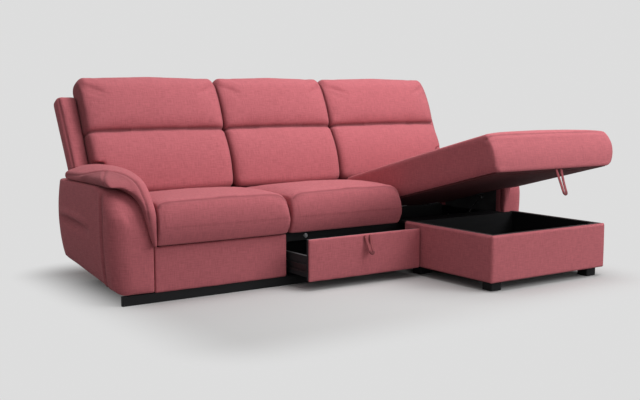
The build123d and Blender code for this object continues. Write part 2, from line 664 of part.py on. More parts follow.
# Storage box in front of the body
board_left = BOX_LEFT + PAD
board_right = BOX_RIGHT - PAD
board_front = BOX_FRONT + PAD
inside_front = board_front + BOARD
inside_rear = BOX_REAR - BOARD
board_foot = HEM + 4
board_top = RIM - RIM_CAP
FLOOR_Z = HEM + 14
keep("box_front_board", slab(board_left, board_right, board_front, inside_front, board_foot, board_top))
keep("box_side_boards", group(*[
    slab(x, x + BOARD, inside_front, BOX_REAR, board_foot, board_top)
    for x in (board_left, board_right - BOARD)
]))
inside_left = board_left + BOARD
inside_right = board_right - BOARD
keep("box_rear_board", slab(inside_left, inside_right, inside_rear, BOX_REAR, board_foot, board_top))
keep("box_floor", slab(inside_left, inside_right, inside_front, inside_rear, FLOOR_Z, FLOOR_Z + PLY))


def rim_profile(plane, outer, inner):
    """Padding outside a board, its cover folded over the rim; outer and inner are places in the plane."""
    way = 1 if inner > outer else -1
    with BuildSketch(plane) as section:
        with BuildLine():
            Line((outer, HEM + 10), (outer, RIM - 12))
            ThreePointArc((outer, RIM - 12), (outer + way * 3.5, RIM - 3.5), (outer + way * 12, RIM))
            Line((outer + way * 12, RIM), (inner, RIM))
            Line((inner, RIM), (inner, board_top))
            Line((inner, board_top), (outer + way * PAD, board_top))
            Line((outer + way * PAD, board_top), (outer + way * PAD, HEM))
            Line((outer + way * PAD, HEM), (outer + way * 10, HEM))
            ThreePointArc((outer + way * 10, HEM), (outer + way * 3, HEM + 3), (outer, HEM + 10))
        make_face()
    return section.sketch


CORNER = PAD + BOARD
with BuildPart() as front_padding:
    extrude(rim_profile(across(BOX_LEFT), BOX_FRONT, inside_front),
            amount=BOX_RIGHT - BOX_LEFT, dir=(1, 0, 0))
    with BuildSketch(Plane.XY.offset(board_top)):
        with Locations(*[(x, (board_front + inside_front) / 2)
                         for x in (BOX_LEFT + CORNER / 2, BOX_RIGHT - CORNER / 2)]):
            Rectangle(CORNER, BOARD)
    extrude(amount=RIM_CAP, mode=Mode.SUBTRACT)
    with BuildSketch(Plane.XY.offset(HEM)) as plan:
        with Locations(((BOX_LEFT + BOX_RIGHT) / 2, BOX_FRONT + CORNER / 2)):
            Rectangle(BOX_RIGHT - BOX_LEFT, CORNER)
        fillet(plan.vertices().group_by(Axis.Y)[0], PAD - 2)
    extrude(amount=RIM - HEM, mode=Mode.INTERSECT)
keep("box_front_padding", front_padding.part)
with BuildPart() as left_padding:
    extrude(rim_profile(facing(BOX_REAR), BOX_LEFT, BOX_LEFT + CORNER),
            amount=BOX_REAR - board_front, dir=(0, -1, 0))
with BuildPart() as right_padding:
    extrude(rim_profile(facing(BOX_REAR), BOX_RIGHT, BOX_RIGHT - CORNER),
            amount=BOX_REAR - board_front, dir=(0, -1, 0))
keep("box_side_padding", group(left_padding.part, right_padding.part))

foot_in = PAD + BOARD + FOOT / 2 - 8
keep("box_feet", group(*[
    slab(x - FOOT / 2, x + FOOT / 2, y - FOOT / 2, y + FOOT / 2, 0, board_foot, edge=4)
    for x in (BOX_LEFT + foot_in, BOX_RIGHT - foot_in)
    for y in (BOX_FRONT + foot_in, BOX_REAR - foot_in)
]))

# Link from the box to the body: two angle brackets and a board that bridges the gap
bridge_rear = FRAME_FRONT + BOARD
keep("chaise_bridge_board", slab(WELL_LEFT + SLACK, WELL_RIGHT - SLACK, BOX_REAR, bridge_rear,
                                 RAIL_TOP, RIM - 4))


def link_bracket(x):
    """Bent steel strap: one flange on the rear of the box, one on the front rail of the body."""
    plate = 4
    wide = 60
    low = HEM + 60
    with BuildPart() as bracket:
        with BuildSketch(across(x - wide / 2)):
            with BuildLine():
                Polyline(
                    (BOX_REAR, low), (BOX_REAR, low + 70), (BOX_REAR + plate, low + 70),
                    (BOX_REAR + plate, low + plate), (FRAME_FRONT - plate, low + plate),
                    (FRAME_FRONT - plate, low + 70), (FRAME_FRONT, low + 70), (FRAME_FRONT, low), close=True,
                )
            make_face()
        extrude(amount=wide)
        fillet(bracket.edges().filter_by(Axis.X).group_by(Axis.Z)[0], plate - 1)
    return bracket.part


keep("chaise_link_brackets", group(*[
    link_bracket(WELL_LEFT + (WELL_RIGHT - WELL_LEFT) * share) for share in (0.2, 0.8)
]))

# Dark lining on the arm beside the well
keep("well_side_lining", slab(ARM_IN - 1.7, ARM_INNER, FRAME_FRONT, HINGE_Y, RAIL_TOP,
                              RAIL_TOP + WELL_LINING))

# Hinge rail at the back of the well and the three lid hinges
rail_front = HINGE_Y + KNUCKLE_RADIUS + 1
leaf_low = HINGE_Z - KNUCKLE_RADIUS
keep("hinge_rail", slab(WELL_LEFT, WELL_RIGHT, rail_front, rail_front + 2 * BOARD,
                        leaf_low - LEAF - 70, leaf_low))
HINGE_XS = [WELL_LEFT + (WELL_RIGHT - WELL_LEFT) * share for share in (0.14, 0.5, 0.86)]
LEAF_WIDE = 3 * KNUCKLE_LONG + 2 * FIT
PIN_PLAY = 0.1
AXIS_PLANE = Plane(origin=(0, HINGE_Y, HINGE_Z))


def fixed_leaf(x):
    """Leaf on the hinge rail: a plate with two outer eyes."""
    half = LEAF_WIDE / 2
    gap = KNUCKLE_LONG / 2 + FIT
    with BuildPart() as leaf:
        with BuildSketch(AXIS_PLANE.offset(-KNUCKLE_RADIUS)):
            with Locations((x, KNUCKLE_RADIUS + 1 + LEAF_REACH / 2)):
                Rectangle(LEAF_WIDE, LEAF_REACH)
            with Locations((x - (half + gap) / 2, (KNUCKLE_RADIUS + 1) / 2), (x + (half + gap) / 2,
                                                                              (KNUCKLE_RADIUS + 1) / 2)):
                Rectangle(half - gap, KNUCKLE_RADIUS + 1)
        extrude(amount=LEAF)
        for x0, x1 in ((x - half, x - gap), (x + gap, x + half)):
            with BuildSketch(across(x0, AXIS_PLANE)):
                Circle(KNUCKLE_RADIUS)
            extrude(amount=x1 - x0)
        with BuildSketch(across(x - half, AXIS_PLANE)):
            Circle(PIN_RADIUS + PIN_PLAY)
        extrude(amount=LEAF_WIDE, mode=Mode.SUBTRACT)
    return leaf.part


def moving_leaf(x):
    """Leaf under the lid board: a plate with the middle eye."""
    with BuildPart() as leaf:
        with BuildSketch(LID_PLANE.offset(-2 - LEAF)):
            with Locations((x, -KNUCKLE_RADIUS - 1 - LEAF_REACH / 2)):
                Rectangle(LEAF_WIDE, LEAF_REACH)
            with Locations((x, -(KNUCKLE_RADIUS + 1) / 2)):
                Rectangle(KNUCKLE_LONG, KNUCKLE_RADIUS + 1)
        extrude(amount=LEAF)
        with BuildSketch(across(x - KNUCKLE_LONG / 2, LID_PLANE)):
            Circle(KNUCKLE_RADIUS)
        extrude(amount=KNUCKLE_LONG)
        with BuildSketch(across(x - KNUCKLE_LONG / 2, LID_PLANE)):
            Circle(PIN_RADIUS + PIN_PLAY)
        extrude(amount=KNUCKLE_LONG, mode=Mode.SUBTRACT)
    return leaf.part


def hinge_pin(x):
    """Pin through the three eyes, with a head at each end."""
    half = LEAF_WIDE / 2
    with BuildPart() as pin:
        with BuildSketch(across(x - half, AXIS_PLANE)):
            Circle(PIN_RADIUS)
        extrude(amount=LEAF_WIDE)
        for start, way in ((x - half, -1), (x + half, 1)):
            with BuildSketch(across(start, AXIS_PLANE)):
                Circle(KNUCKLE_RADIUS - 1)
            extrude(amount=way * 2)
    return pin.part


keep("hinge_fixed_leaves", group(*[fixed_leaf(x) for x in HINGE_XS]))
keep("hinge_moving_leaves", group(*[moving_leaf(x) for x in HINGE_XS]))
keep("hinge_pins", group(*[hinge_pin(x) for x in HINGE_XS]))

# Chaise lid: board, cushion that wraps it, lining below, pull loop at the front
LID_LEFT = BOX_LEFT + 2
LID_RIGHT = BOX_RIGHT + LID_OVERLAP
TONGUE_RIGHT = ARM_IN - 2 * SLACK
LID_FOOT = -2
STEP_ROOM = 24            # room of the raised lid before the roll of the arm
STEP_Y = BODY_FRONT - ROLL - STEP_ROOM - HINGE_Y
LID_REAR = -KNUCKLE_RADIUS - 2
WRAP = 20


def lid_outline(inset):
    """Plan of the lid: wide in front of the arm, narrower beside it."""
    with BuildSketch(LID_PLANE.offset(LID_FOOT)) as plan:
        with BuildLine():
            Polyline(
                (LID_LEFT + inset, LID_REAR - inset / 2),
                (TONGUE_RIGHT - inset, LID_REAR - inset / 2),
                (TONGUE_RIGHT - inset, STEP_Y - inset),
                (LID_RIGHT - inset, STEP_Y - inset),
                (LID_RIGHT - inset, -LID_LENGTH + 6 + inset),
                (LID_LEFT + inset, -LID_LENGTH + 6 + inset),
                close=True,
            )
        make_face()
    return plan.sketch


# Ends of the chaise cushion: distance past the lid's edge, inset, lift of the lower edge
LEFT_END = [(3, 22, 56), (1, 12, 30), (-5, 6, 12), (-16, 3, 0)]
RIGHT_END = [(66, 38, 106), (59, 22, 80), (48, 12, 56), (30, 6, 30), (8, 3, 10), (-16, 2, 0)]
# Sections between the ends: share of the width, share of the crown
LID_CROWN = [(0.14, 0.5), (0.5, 1), (0.86, 0.5)]


def lid_profile(x, inset, lift, crown):
    """Outline of the chaise cushion at x: bulged front, welt, long crowned top, rounded back."""
    front = -LID_LENGTH + inset
    rise = crown * SEAT_CROWN / 2
    foot = LID_FOOT + lift
    top = LID_THICK + LID_FOOT - inset + rise
    rear = LID_REAR
    with BuildSketch(across(x, LID_PLANE)) as outline:
        with BuildLine():
            Line((rear, foot), (front + 8, foot))
            ThreePointArc((front + 8, foot), (front + 2, foot + 3), (front, foot + 9))
            ThreePointArc((front, foot + 9), (front - 4, foot + (top - foot) * 0.45), (front + 22, top - 16))
            ThreePointArc((front + 22, top - 16), (front + 31, top - 4), (front + 44, top))
            ThreePointArc((front + 44, top), ((front + rear) / 2, top + rise), (rear - 48, top - 4))
            ThreePointArc((rear - 48, top - 4), (rear - 14, top - 18), (rear, top - 52))
            Line((rear, top - 52), (rear, foot))
        make_face()
    return outline.sketch


with BuildPart() as lid_board:
    extrude(lid_outline(WRAP), amount=LID_BOARD, dir=LID_PLANE.z_dir)
keep("lid_board", lid_board.part)
with BuildPart() as chaise_cushion:
    lid_width = LID_RIGHT - LID_LEFT
    lid_sections = [lid_profile(LID_LEFT - out, inset, lift, 0.1) for out, inset, lift in LEFT_END]
    lid_sections += [lid_profile(LID_LEFT + lid_width * t, 0, 0, crown) for t, crown in LID_CROWN]
    lid_sections += [
        lid_profile(LID_RIGHT + out, inset, lift, 0.1) for out, inset, lift in reversed(RIGHT_END)
    ]
    loft(lid_sections, ruled=True)
    with BuildSketch(LID_PLANE.offset(LID_FOOT - 1)):
        with Locations((TONGUE_RIGHT + 100, STEP_Y + 400)):
            Rectangle(200, 800)
    extrude(amount=LID_THICK + 4 * SEAT_CROWN, mode=Mode.SUBTRACT)
    extrude(lid_outline(WRAP), amount=LID_BOARD, dir=LID_PLANE.z_dir, mode=Mode.SUBTRACT)
keep("chaise_cushion", chaise_cushion.part)
STRUT_XS = {"left": WELL_LEFT + STRUT_INSET, "right": WELL_RIGHT - STRUT_INSET}
LID_PLATE = 34            # width of a strut bracket under the lid
lining_front = inside_front + 2 * SLACK - HINGE_Y
lining_rear = -KNUCKLE_RADIUS - 1 - LEAF_REACH - 8
keep("lid_lining", slab(STRUT_XS["left"] + LID_PLATE, STRUT_XS["right"] - LID_PLATE,
                        lining_front, lining_rear, LID_FOOT - 1.5, LID_FOOT, LID_PLANE))


def pull_loop(plane, long):
    """Flat pull loop: two legs side by side with a slit between them, round at the free end."""
    with BuildPart() as loop:
        with BuildSketch(plane):
            with Locations((0, -(long - STRAP_WIDE / 2) / 2)):
                Rectangle(STRAP_WIDE, long - STRAP_WIDE / 2)
            with Locations((0, -(long - STRAP_WIDE / 2))):
                Circle(STRAP_WIDE / 2)
            slit_top = -0.18 * long
            slit_foot = -(long - STRAP_WIDE / 2)
            with Locations((0, (slit_top + slit_foot) / 2)):
                SlotOverall(slit_top - slit_foot + STRAP_SLIT, STRAP_SLIT, rotation=90, mode=Mode.SUBTRACT)
        extrude(amount=STRAP_THICK)
    return loop.part


LID_STRAP_X = (LID_LEFT + LID_RIGHT) / 2 + 30
LID_STRAP_LEAN = math.radians(8)
lid_strap_top = LID_PLANE.from_local_coords(
    Vector(LID_STRAP_X, -LID_LENGTH + WRAP, LID_FOOT - STRAP_THICK * math.sin(LID_STRAP_LEAN)))
strap_normal = LID_PLANE.from_local_coords(
    Vector(0, -math.cos(LID_STRAP_LEAN), math.sin(LID_STRAP_LEAN))) - LID_PLANE.origin
lid_strap_plane = Plane(origin=lid_strap_top, x_dir=(1, 0, 0), z_dir=strap_normal)
keep("lid_pull_loop", pull_loop(lid_strap_plane, LID_STRAP_LONG))

# Gas struts of the lid
foot_spot = AXIS_PLANE.from_local_coords(Vector(0, *STRUT_FOOT))
head_spot = LID_PLANE.from_local_coords(Vector(0, *STRUT_HEAD))
strut_way = head_spot - foot_spot
STRUT_LONG = strut_way.length
# Plane along a strut at rest: its y runs from the lower pivot to the upper one
STRUT_PLANE = Plane(origin=foot_spot, x_dir=(1, 0, 0), z_dir=Vector(1, 0, 0).cross(strut_way))
EYE_OUT = 10
EYE_WIDE = 8
CYLINDER_START = 14
CYLINDER_END = STRUT_LONG * 0.62
CLOSED_LONG = (AXIS_PLANE.from_local_coords(Vector(0, *STRUT_HEAD)) - foot_spot).length
STROKE = STRUT_LONG - CLOSED_LONG


def strut_cylinder(x):
    """Gas cylinder with the eye of its lower pivot; a bore runs up to its open end."""
    with BuildPart() as cylinder:
        with BuildSketch(across(x - EYE_WIDE / 2, STRUT_PLANE)):
            Circle(EYE_OUT)
            Circle(STUD_RADIUS + PIN_PLAY, mode=Mode.SUBTRACT)
        extrude(amount=EYE_WIDE)
        with BuildSketch(facing(CYLINDER_START - 6, STRUT_PLANE)):
            with Locations((x, 0)):
                Circle(ROD_RADIUS)
        extrude(amount=-8)
        with BuildSketch(facing(CYLINDER_START, STRUT_PLANE)):
            with Locations((x, 0)):
                Circle(CYLINDER_RADIUS)
        extrude(amount=-(CYLINDER_END - CYLINDER_START))
        chamfer(cylinder.faces().sort_by(Axis(foot_spot, strut_way))[-1].edges(), 1.5)
        with BuildSketch(facing(CYLINDER_START + 10, STRUT_PLANE)):
            with Locations((x, 0)):
                Circle(ROD_RADIUS + FIT)
        extrude(amount=-(CYLINDER_END - CYLINDER_START - 10), mode=Mode.SUBTRACT)
    return cylinder.part


def strut_rod(x):
    """Piston rod with the eye of its upper pivot, loose enough on its stud for the whole swing."""
    rod_start = CYLINDER_END - (CYLINDER_END - CYLINDER_START) * 0.45
    with BuildPart() as rod:
        with BuildSketch(facing(rod_start, STRUT_PLANE)):
            with Locations((x, 0)):
                Circle(ROD_RADIUS)
        extrude(amount=-(STRUT_LONG - 8 - rod_start))
        with BuildSketch(across(x - EYE_WIDE / 2, STRUT_PLANE)):
            with Locations((STRUT_LONG, 0)):
                Circle(EYE_OUT)
        extrude(amount=EYE_WIDE)
        with BuildSketch(across(x - EYE_WIDE / 2, STRUT_PLANE)):
            with Locations((STRUT_LONG, 0)):
                Circle(STUD_RADIUS + EYE_PLAY)
        extrude(amount=EYE_WIDE, mode=Mode.SUBTRACT)
    return rod.part


def wall_bracket(x, way):
    """Plate on the wall of the well with the stud that carries a cylinder's eye."""
    with BuildPart() as bracket:
        with BuildSketch(across(x - way * STRUT_INSET, AXIS_PLANE)):
            with Locations(STRUT_FOOT):
                RectangleRounded(34, 60, 6)
        extrude(amount=way * 4)
        with BuildSketch(across(x - way * STRUT_INSET, AXIS_PLANE)):
            with Locations(STRUT_FOOT):
                Circle(STUD_RADIUS)
        extrude(amount=way * (STRUT_INSET + EYE_WIDE / 2 + 3))
        with BuildSketch(across(x + way * (EYE_WIDE / 2 + 1), AXIS_PLANE)):
            with Locations(STRUT_FOOT):
                Circle(STUD_RADIUS + 2.5)
        extrude(amount=way * 3)
    return bracket.part


def lid_bracket(x, way):
    """Angle under the lid board with the stud that carries a rod's eye."""
    plate = 3
    cheek = x - way * (EYE_WIDE / 2 + 8)
    depth, height = STRUT_HEAD
    with BuildPart() as bracket:
        with BuildSketch(LID_PLANE.offset(LID_FOOT - plate)):
            with Locations((cheek + way * LID_PLATE / 2, depth)):
                Rectangle(LID_PLATE, 44)
        extrude(amount=plate)
        with BuildSketch(across(cheek, LID_PLANE)):
            with Locations((depth, (height - 8 + LID_FOOT) / 2)):
                Rectangle(22, LID_FOOT - height + 8)
        extrude(amount=way * plate)
        with BuildSketch(across(cheek, LID_PLANE)):
            with Locations((depth, height)):
                Circle(STUD_RADIUS)
        extrude(amount=way * (EYE_WIDE + 8 + 6))
    return bracket.part


for side, way in (("left", 1), ("right", -1)):
    keep(side + "_strut_cylinder", strut_cylinder(STRUT_XS[side]))
    keep(side + "_strut_rod", strut_rod(STRUT_XS[side]))
keep("strut_wall_brackets", group(wall_bracket(STRUT_XS["left"], 1), wall_bracket(STRUT_XS["right"], -1)))
keep("strut_lid_brackets", group(lid_bracket(STRUT_XS["left"], 1), lid_bracket(STRUT_XS["right"], -1)))

# Drawer under the middle seat, drawn at rest
DRAWER_LEFT = SEAT_1 + BOARD / 2 + RUNNER
DRAWER_RIGHT = SEAT_2 - BOARD / 2 - RUNNER
front_left = SEAT_1 + SLACK
front_right = SEAT_2 - SLACK
back_of_front = BODY_FRONT + PANEL
drawer_end = back_of_front + DRAWER_LENGTH
keep("drawer_front_padding", padded_front(front_left, front_right, HEM, DRAWER_TOP, DRAWER_PLANE))
with BuildPart() as drawer_board:
    with BuildSketch(facing(back_of_front, DRAWER_PLANE)):
        with Locations(((front_left + front_right) / 2, (HEM + DRAWER_TOP) / 2)):
            Rectangle(front_right - front_left - 8, DRAWER_TOP - HEM - 8)
    extrude(amount=PLY)
    with BuildSketch(facing(back_of_front, DRAWER_PLANE)):
        with Locations(*HEADER_BOLTS):
            Circle(HEAD_RADIUS + 5)
    extrude(amount=HEAD_HIGH + WASHER, mode=Mode.SUBTRACT)
keep("drawer_front_board", drawer_board.part)
keep("drawer_sides", group(*[
    slab(x, x + SIDE_PLY, back_of_front, drawer_end, DRAWER_FOOT, DRAWER_SIDE_TOP, DRAWER_PLANE)
    for x in (DRAWER_LEFT, DRAWER_RIGHT - SIDE_PLY)
]))
keep("drawer_back", slab(DRAWER_LEFT + SIDE_PLY, DRAWER_RIGHT - SIDE_PLY, drawer_end - SIDE_PLY, drawer_end,
                         DRAWER_FOOT, DRAWER_SIDE_TOP, DRAWER_PLANE))
keep("drawer_bottom", slab(DRAWER_LEFT + SIDE_PLY, DRAWER_RIGHT - SIDE_PLY, back_of_front,
                           drawer_end - SIDE_PLY, DRAWER_FOOT + 6, DRAWER_FOOT + 6 + LINING, DRAWER_PLANE))
strap_tilt = math.radians(STRAP_LEAN)
drawer_strap_top = DRAWER_PLANE.from_local_coords(
    Vector((front_left + front_right) / 2, BODY_FRONT, DRAWER_TOP - 6))
keep("drawer_pull_loop", pull_loop(
    Plane(origin=drawer_strap_top, x_dir=(1, 0, 0), z_dir=(0, -math.cos(strap_tilt), math.sin(strap_tilt))),
    STRAP_LONG))

# Runners: a channel on each partition and a rail on each drawer side
RUNNER_Z = DRAWER_FOOT + 22
SHEET = 1.5


def runner_channel(x, way):
    """Fixed channel, open towards the drawer; x is the face of its partition, way points to the drawer."""
    lip = x + way * (RUNNER - 2)
    web = x + way * SHEET
    z0 = RUNNER_Z
    z1 = RUNNER_Z + RUNNER_HEIGHT
    with BuildPart() as channel:
        with BuildSketch(facing(back_of_front + 8 + RUNNER_LENGTH)):
            with BuildLine():
                Polyline(
                    (x, z0), (lip, z0), (lip, z0 + SHEET), (web, z0 + SHEET),
                    (web, z1 - SHEET), (lip, z1 - SHEET), (lip, z1), (x, z1), close=True,
                )
            make_face()
        extrude(amount=RUNNER_LENGTH)
    return channel.part


def runner_rail(x, way):
    """Moving rail on the drawer side, a bar with two lips in the channel; x is the drawer's side face."""
    gap = 0.5
    lip = x - way * (RUNNER - SHEET - gap)
    web = x - way * 4
    z0 = RUNNER_Z + SHEET + gap
    z1 = RUNNER_Z + RUNNER_HEIGHT - SHEET - gap
    with BuildPart() as rail:
        with BuildSketch(facing(back_of_front + RUNNER_LENGTH, DRAWER_PLANE)):
            with BuildLine():
                Polyline(
                    (x, z0), (lip, z0), (lip, z0 + 8), (web, z0 + 8),
                    (web, z1 - 8), (lip, z1 - 8), (lip, z1), (x, z1), close=True,
                )
            make_face()
        extrude(amount=RUNNER_LENGTH)
    return rail.part


keep("drawer_runner_channels", group(
    runner_channel(SEAT_1 + BOARD / 2, 1),
    runner_channel(SEAT_2 - BOARD / 2, -1),
))
keep("drawer_runner_rails", group(runner_rail(DRAWER_LEFT, 1), runner_rail(DRAWER_RIGHT, -1)))

os.makedirs("parts", exist_ok=True)
for name, part in pieces.items():
    export_step(part, f"parts/{name}.step")
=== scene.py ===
"""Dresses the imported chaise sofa: woven covers, sewn cushions, boards, hardware, light and camera."""
import json
import math

import bmesh
import bpy
import numpy as np
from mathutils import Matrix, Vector
from mathutils.kdtree import KDTree


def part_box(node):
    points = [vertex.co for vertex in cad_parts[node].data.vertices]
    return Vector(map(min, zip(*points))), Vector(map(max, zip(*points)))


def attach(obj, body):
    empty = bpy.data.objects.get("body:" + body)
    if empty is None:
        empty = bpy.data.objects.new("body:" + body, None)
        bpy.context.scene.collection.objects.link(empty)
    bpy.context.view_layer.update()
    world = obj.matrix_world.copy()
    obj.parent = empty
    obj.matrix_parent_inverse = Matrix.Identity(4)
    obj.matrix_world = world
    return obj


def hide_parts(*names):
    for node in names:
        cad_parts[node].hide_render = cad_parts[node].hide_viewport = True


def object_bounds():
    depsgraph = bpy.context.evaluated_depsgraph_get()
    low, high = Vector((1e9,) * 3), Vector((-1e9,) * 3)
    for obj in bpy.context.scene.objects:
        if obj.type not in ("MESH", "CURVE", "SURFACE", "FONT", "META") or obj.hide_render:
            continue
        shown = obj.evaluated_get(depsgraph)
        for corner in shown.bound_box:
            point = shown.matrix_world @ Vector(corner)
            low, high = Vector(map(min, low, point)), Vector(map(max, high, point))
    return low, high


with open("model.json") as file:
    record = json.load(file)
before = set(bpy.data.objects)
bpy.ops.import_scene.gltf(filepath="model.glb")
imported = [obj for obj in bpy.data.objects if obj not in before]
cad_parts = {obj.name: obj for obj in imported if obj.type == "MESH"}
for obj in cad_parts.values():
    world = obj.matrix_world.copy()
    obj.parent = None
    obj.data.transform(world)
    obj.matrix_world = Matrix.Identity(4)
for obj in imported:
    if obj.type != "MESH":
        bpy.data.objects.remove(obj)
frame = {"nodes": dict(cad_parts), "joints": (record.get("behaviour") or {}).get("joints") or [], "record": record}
cad_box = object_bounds()
nodes = frame["nodes"]
joints = {joint["name"]: joint for joint in frame["joints"]}
body_of_node = {n: b for b, members in frame["record"]["behaviour"]["bodies"].items() for n in members}

# Places of the sofa, in metres, read off the frame
ARM_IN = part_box("right_arm_pad")[0][0] + 0.002
SEAT_SPLIT = (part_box("left_seat_cushion")[1][0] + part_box("middle_seat_cushion")[0][0]) / 2
CHAISE_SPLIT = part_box("middle_seat_cushion")[1][0] + 0.003
BACK_LEAN = math.radians(25.5)
KNEE = Vector((0.0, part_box("outer_back_lower")[1][1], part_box("outer_back_lower")[1][2]))
BACK_SEAM = 0.193         # sewn channel, up the lean from the knee
LID_LENGTH = 1.266        # hinge axis to the lower front edge of the lid
LID_AXIS = Vector(joints["lid_hinge"]["pos_m"])
LID_OPEN = math.radians(-joints["lid_hinge"]["range_deg"][0])


# Shader recipes

class Wire:
    """One socket of a recipe; sums, products and powers of wires add their Math nodes."""

    def __init__(self, recipe, socket):
        self.recipe = recipe
        self.socket = socket

    def math(self, operation, first, second=0.0, third=0.0):
        return self.recipe.add("Math", {"operation": operation}, {0: first, 1: second, 2: third})

    def __add__(self, other):
        return self.math("ADD", self, other)

    def __radd__(self, other):
        return self.math("ADD", other, self)

    def __sub__(self, other):
        return self.math("SUBTRACT", self, other)

    def __rsub__(self, other):
        return self.math("SUBTRACT", other, self)

    def __mul__(self, other):
        return self.math("MULTIPLY", self, other)

    def __rmul__(self, other):
        return self.math("MULTIPLY", other, self)

    def __truediv__(self, other):
        return self.math("DIVIDE", self, other)

    def __pow__(self, other):
        return self.math("POWER", self, other)

    def __abs__(self):
        return self.math("ABSOLUTE", self)

    def sine(self):
        return self.math("SINE", self)

    def most(self, other):
        return self.math("MAXIMUM", self, other)


class Recipe:
    """Shader nodes of a material or of the world, under construction."""

    def __init__(self, owner):
        self.owner = owner
        owner.use_nodes = True
        self.tree = owner.node_tree
        self.tree.nodes.clear()

    def add(self, kind, settings=None, sockets=None, out=0):
        """Adds one node: settings first, then values or wires of its sockets; gives a wire of one output."""
        node = self.tree.nodes.new("ShaderNode" + kind)
        for key, value in (settings or {}).items():
            setattr(node, key, value)
        for key, value in (sockets or {}).items():
            if isinstance(value, Wire):
                self.tree.links.new(value.socket, node.inputs[key])
            elif isinstance(value, (tuple, list)) and len(value) == 3 and node.inputs[key].type == "RGBA":
                node.inputs[key].default_value = (*value, 1.0)
            else:
                node.inputs[key].default_value = value
        return Wire(self, node.outputs[out]) if node.outputs else None

    def parts(self, vector):
        """The three numbers of a vector wire."""
        split = self.add("SeparateXYZ", {}, {0: vector})
        return [Wire(self, socket) for socket in split.socket.node.outputs]

    def vector(self, x, y, z):
        return self.add("CombineXYZ", {}, {0: x, 1: y, 2: z})

    def blend(self, share, first, second, how="MIX"):
        """Mixes two colours."""
        return self.add("Mix", {"data_type": "RGBA", "blend_type": how}, {0: share, 6: first, 7: second}, out=2)

    def spread(self, value, low, high, to_low, to_high):
        return self.add("MapRange", {"interpolation_type": "SMOOTHSTEP"},
                        {0: value, 1: low, 2: high, 3: to_low, 4: to_high})

    def noise(self, vector, scale, detail=2.0, rough=0.5):
        return self.add("TexNoise", {},
                        {"Vector": vector, "Scale": scale, "Detail": detail, "Roughness": rough})

    def here(self):
        """Where a point is on the object and which way it faces, both in the object's own space."""
        place = self.add("TexCoord", {}, {}, out="Object")
        return place, Wire(self, place.socket.node.outputs["Normal"])

    def finish(self, base, roughness, height=None, depth=0.001, strength=0.4, **constants):
        """Closes the recipe with one shader; height is a bump in metres over depth."""
        sockets = {"Base Color": base, "Roughness": roughness}
        sockets.update({key.replace("_", " ").title().replace("Ior", "IOR"): v for key, v in constants.items()})
        if height is not None:
            sockets["Normal"] = self.add("Bump", {},
                                         {"Strength": strength, "Distance": depth, "Height": height})
        shader = self.add("BsdfPrincipled", {}, sockets)
        self.add("OutputMaterial", {}, {"Surface": shader})
        return self.owner

    def light_path(self):
        """One where the camera looks, straight or by a mirror or glass; nought for light on its way."""
        seen = self.add("LightPath", {}, {}, out="Is Camera Ray")
        ways = seen.socket.node.outputs
        return seen.most(Wire(self, ways["Is Glossy Ray"])).most(Wire(self, ways["Is Transmission Ray"]))


def woven(name, tint, thread=0.0026, slub=1.0, sheen=0.12, painted_shade_strength=0.7):
    """Linen-look upholstery cloth: crossed threads with long slubs, a soft nap, and painted shade where the seam
    mark is set.

    Where a piece has its lining marked, the cloth is black."""
    r = Recipe(bpy.data.materials.new(name))
    place, facing = r.here()
    x, y, z = r.parts(place)
    weights = [abs(n) ** 4.0 for n in r.parts(facing)]
    total = weights[0] + weights[1] + weights[2] + 0.0001
    turn = 2 * math.pi / thread
    tone = 0.0
    relief = 0.0
    for weight, (u, v) in zip(weights, ((y, z), (x, z), (x, y))):
        share = weight / total
        across = r.noise(r.vector(u * 21.0, v * 250.0, 0.0), 1.0, 2.0, 0.6)
        along = r.noise(r.vector(u * 250.0, v * 21.0, 5.0), 1.0, 2.0, 0.6)
        weft = (v * turn).sine() * 0.5 + 0.5
        warp = (u * turn).sine() * 0.5 + 0.5
        tone = tone + share * (across + along)
        relief = relief + share * (weft * across + warp * along)
    cloud = r.noise(place, 5.0, 2.0, 0.5)
    dark = tuple(c * (1.0 - 0.14 * slub) for c in tint)
    pale = tuple(min(1.0, c * (1.0 + 0.13 * slub) + 0.004 * slub) for c in tint)
    level = r.spread(tone + (cloud - 0.5) * 0.12, 0.66, 1.34, 0.0, 1.0)
    colour = r.blend(level, dark, pale)
    seam = r.add("Attribute", {"attribute_name": "seam"}, {}, out="Fac")
    # Painted shade: the seam mark mixes the cloth toward a dark copy of its own colour, in seams, folds and other
    # places that lie in shade.
    shaded = r.blend(seam * painted_shade_strength, colour, tuple(c * 0.12 for c in tint))
    lining = r.add("Attribute", {"attribute_name": "lining"}, {}, out="Fac")
    lined = r.blend(lining, shaded, (0.008, 0.008, 0.009))
    rough = 0.84 + (relief - 0.5) * 0.14
    return r.finish(lined, rough, relief, 0.0011, 0.5, sheen_weight=sheen, sheen_roughness=0.45,
                    sheen_tint=(1.0, 0.74, 0.75), specular_ior_level=0.14)


def painted_board(name, tint, pale_edge=None, gloss=0.62, shine=0.12):
    """Foil-faced board: faint grain and scuffs in the finish; pale_edge colours faces that look up."""
    r = Recipe(bpy.data.materials.new(name))
    place, facing = r.here()
    x, y, z = r.parts(place)
    grain = r.noise(r.vector(x * 6.0, y * 60.0, z * 90.0), 1.0, 4.0, 0.6)
    scuff = r.noise(place, 55.0, 4.0, 0.65)
    colour = r.blend(r.spread(grain, 0.3, 0.7, 0.0, 1.0), tuple(c * 0.9 for c in tint),
                     tuple(c * 1.1 for c in tint))
    if pale_edge:
        up = r.parts(facing)[2]
        colour = r.blend(r.spread(up, 0.7, 0.9, 0.0, 1.0), colour, pale_edge)
    rough = gloss + (scuff - 0.5) * 0.25
    return r.finish(colour, rough, grain * 0.6 + scuff * 0.4, 0.0004, 0.25, specular_ior_level=shine)


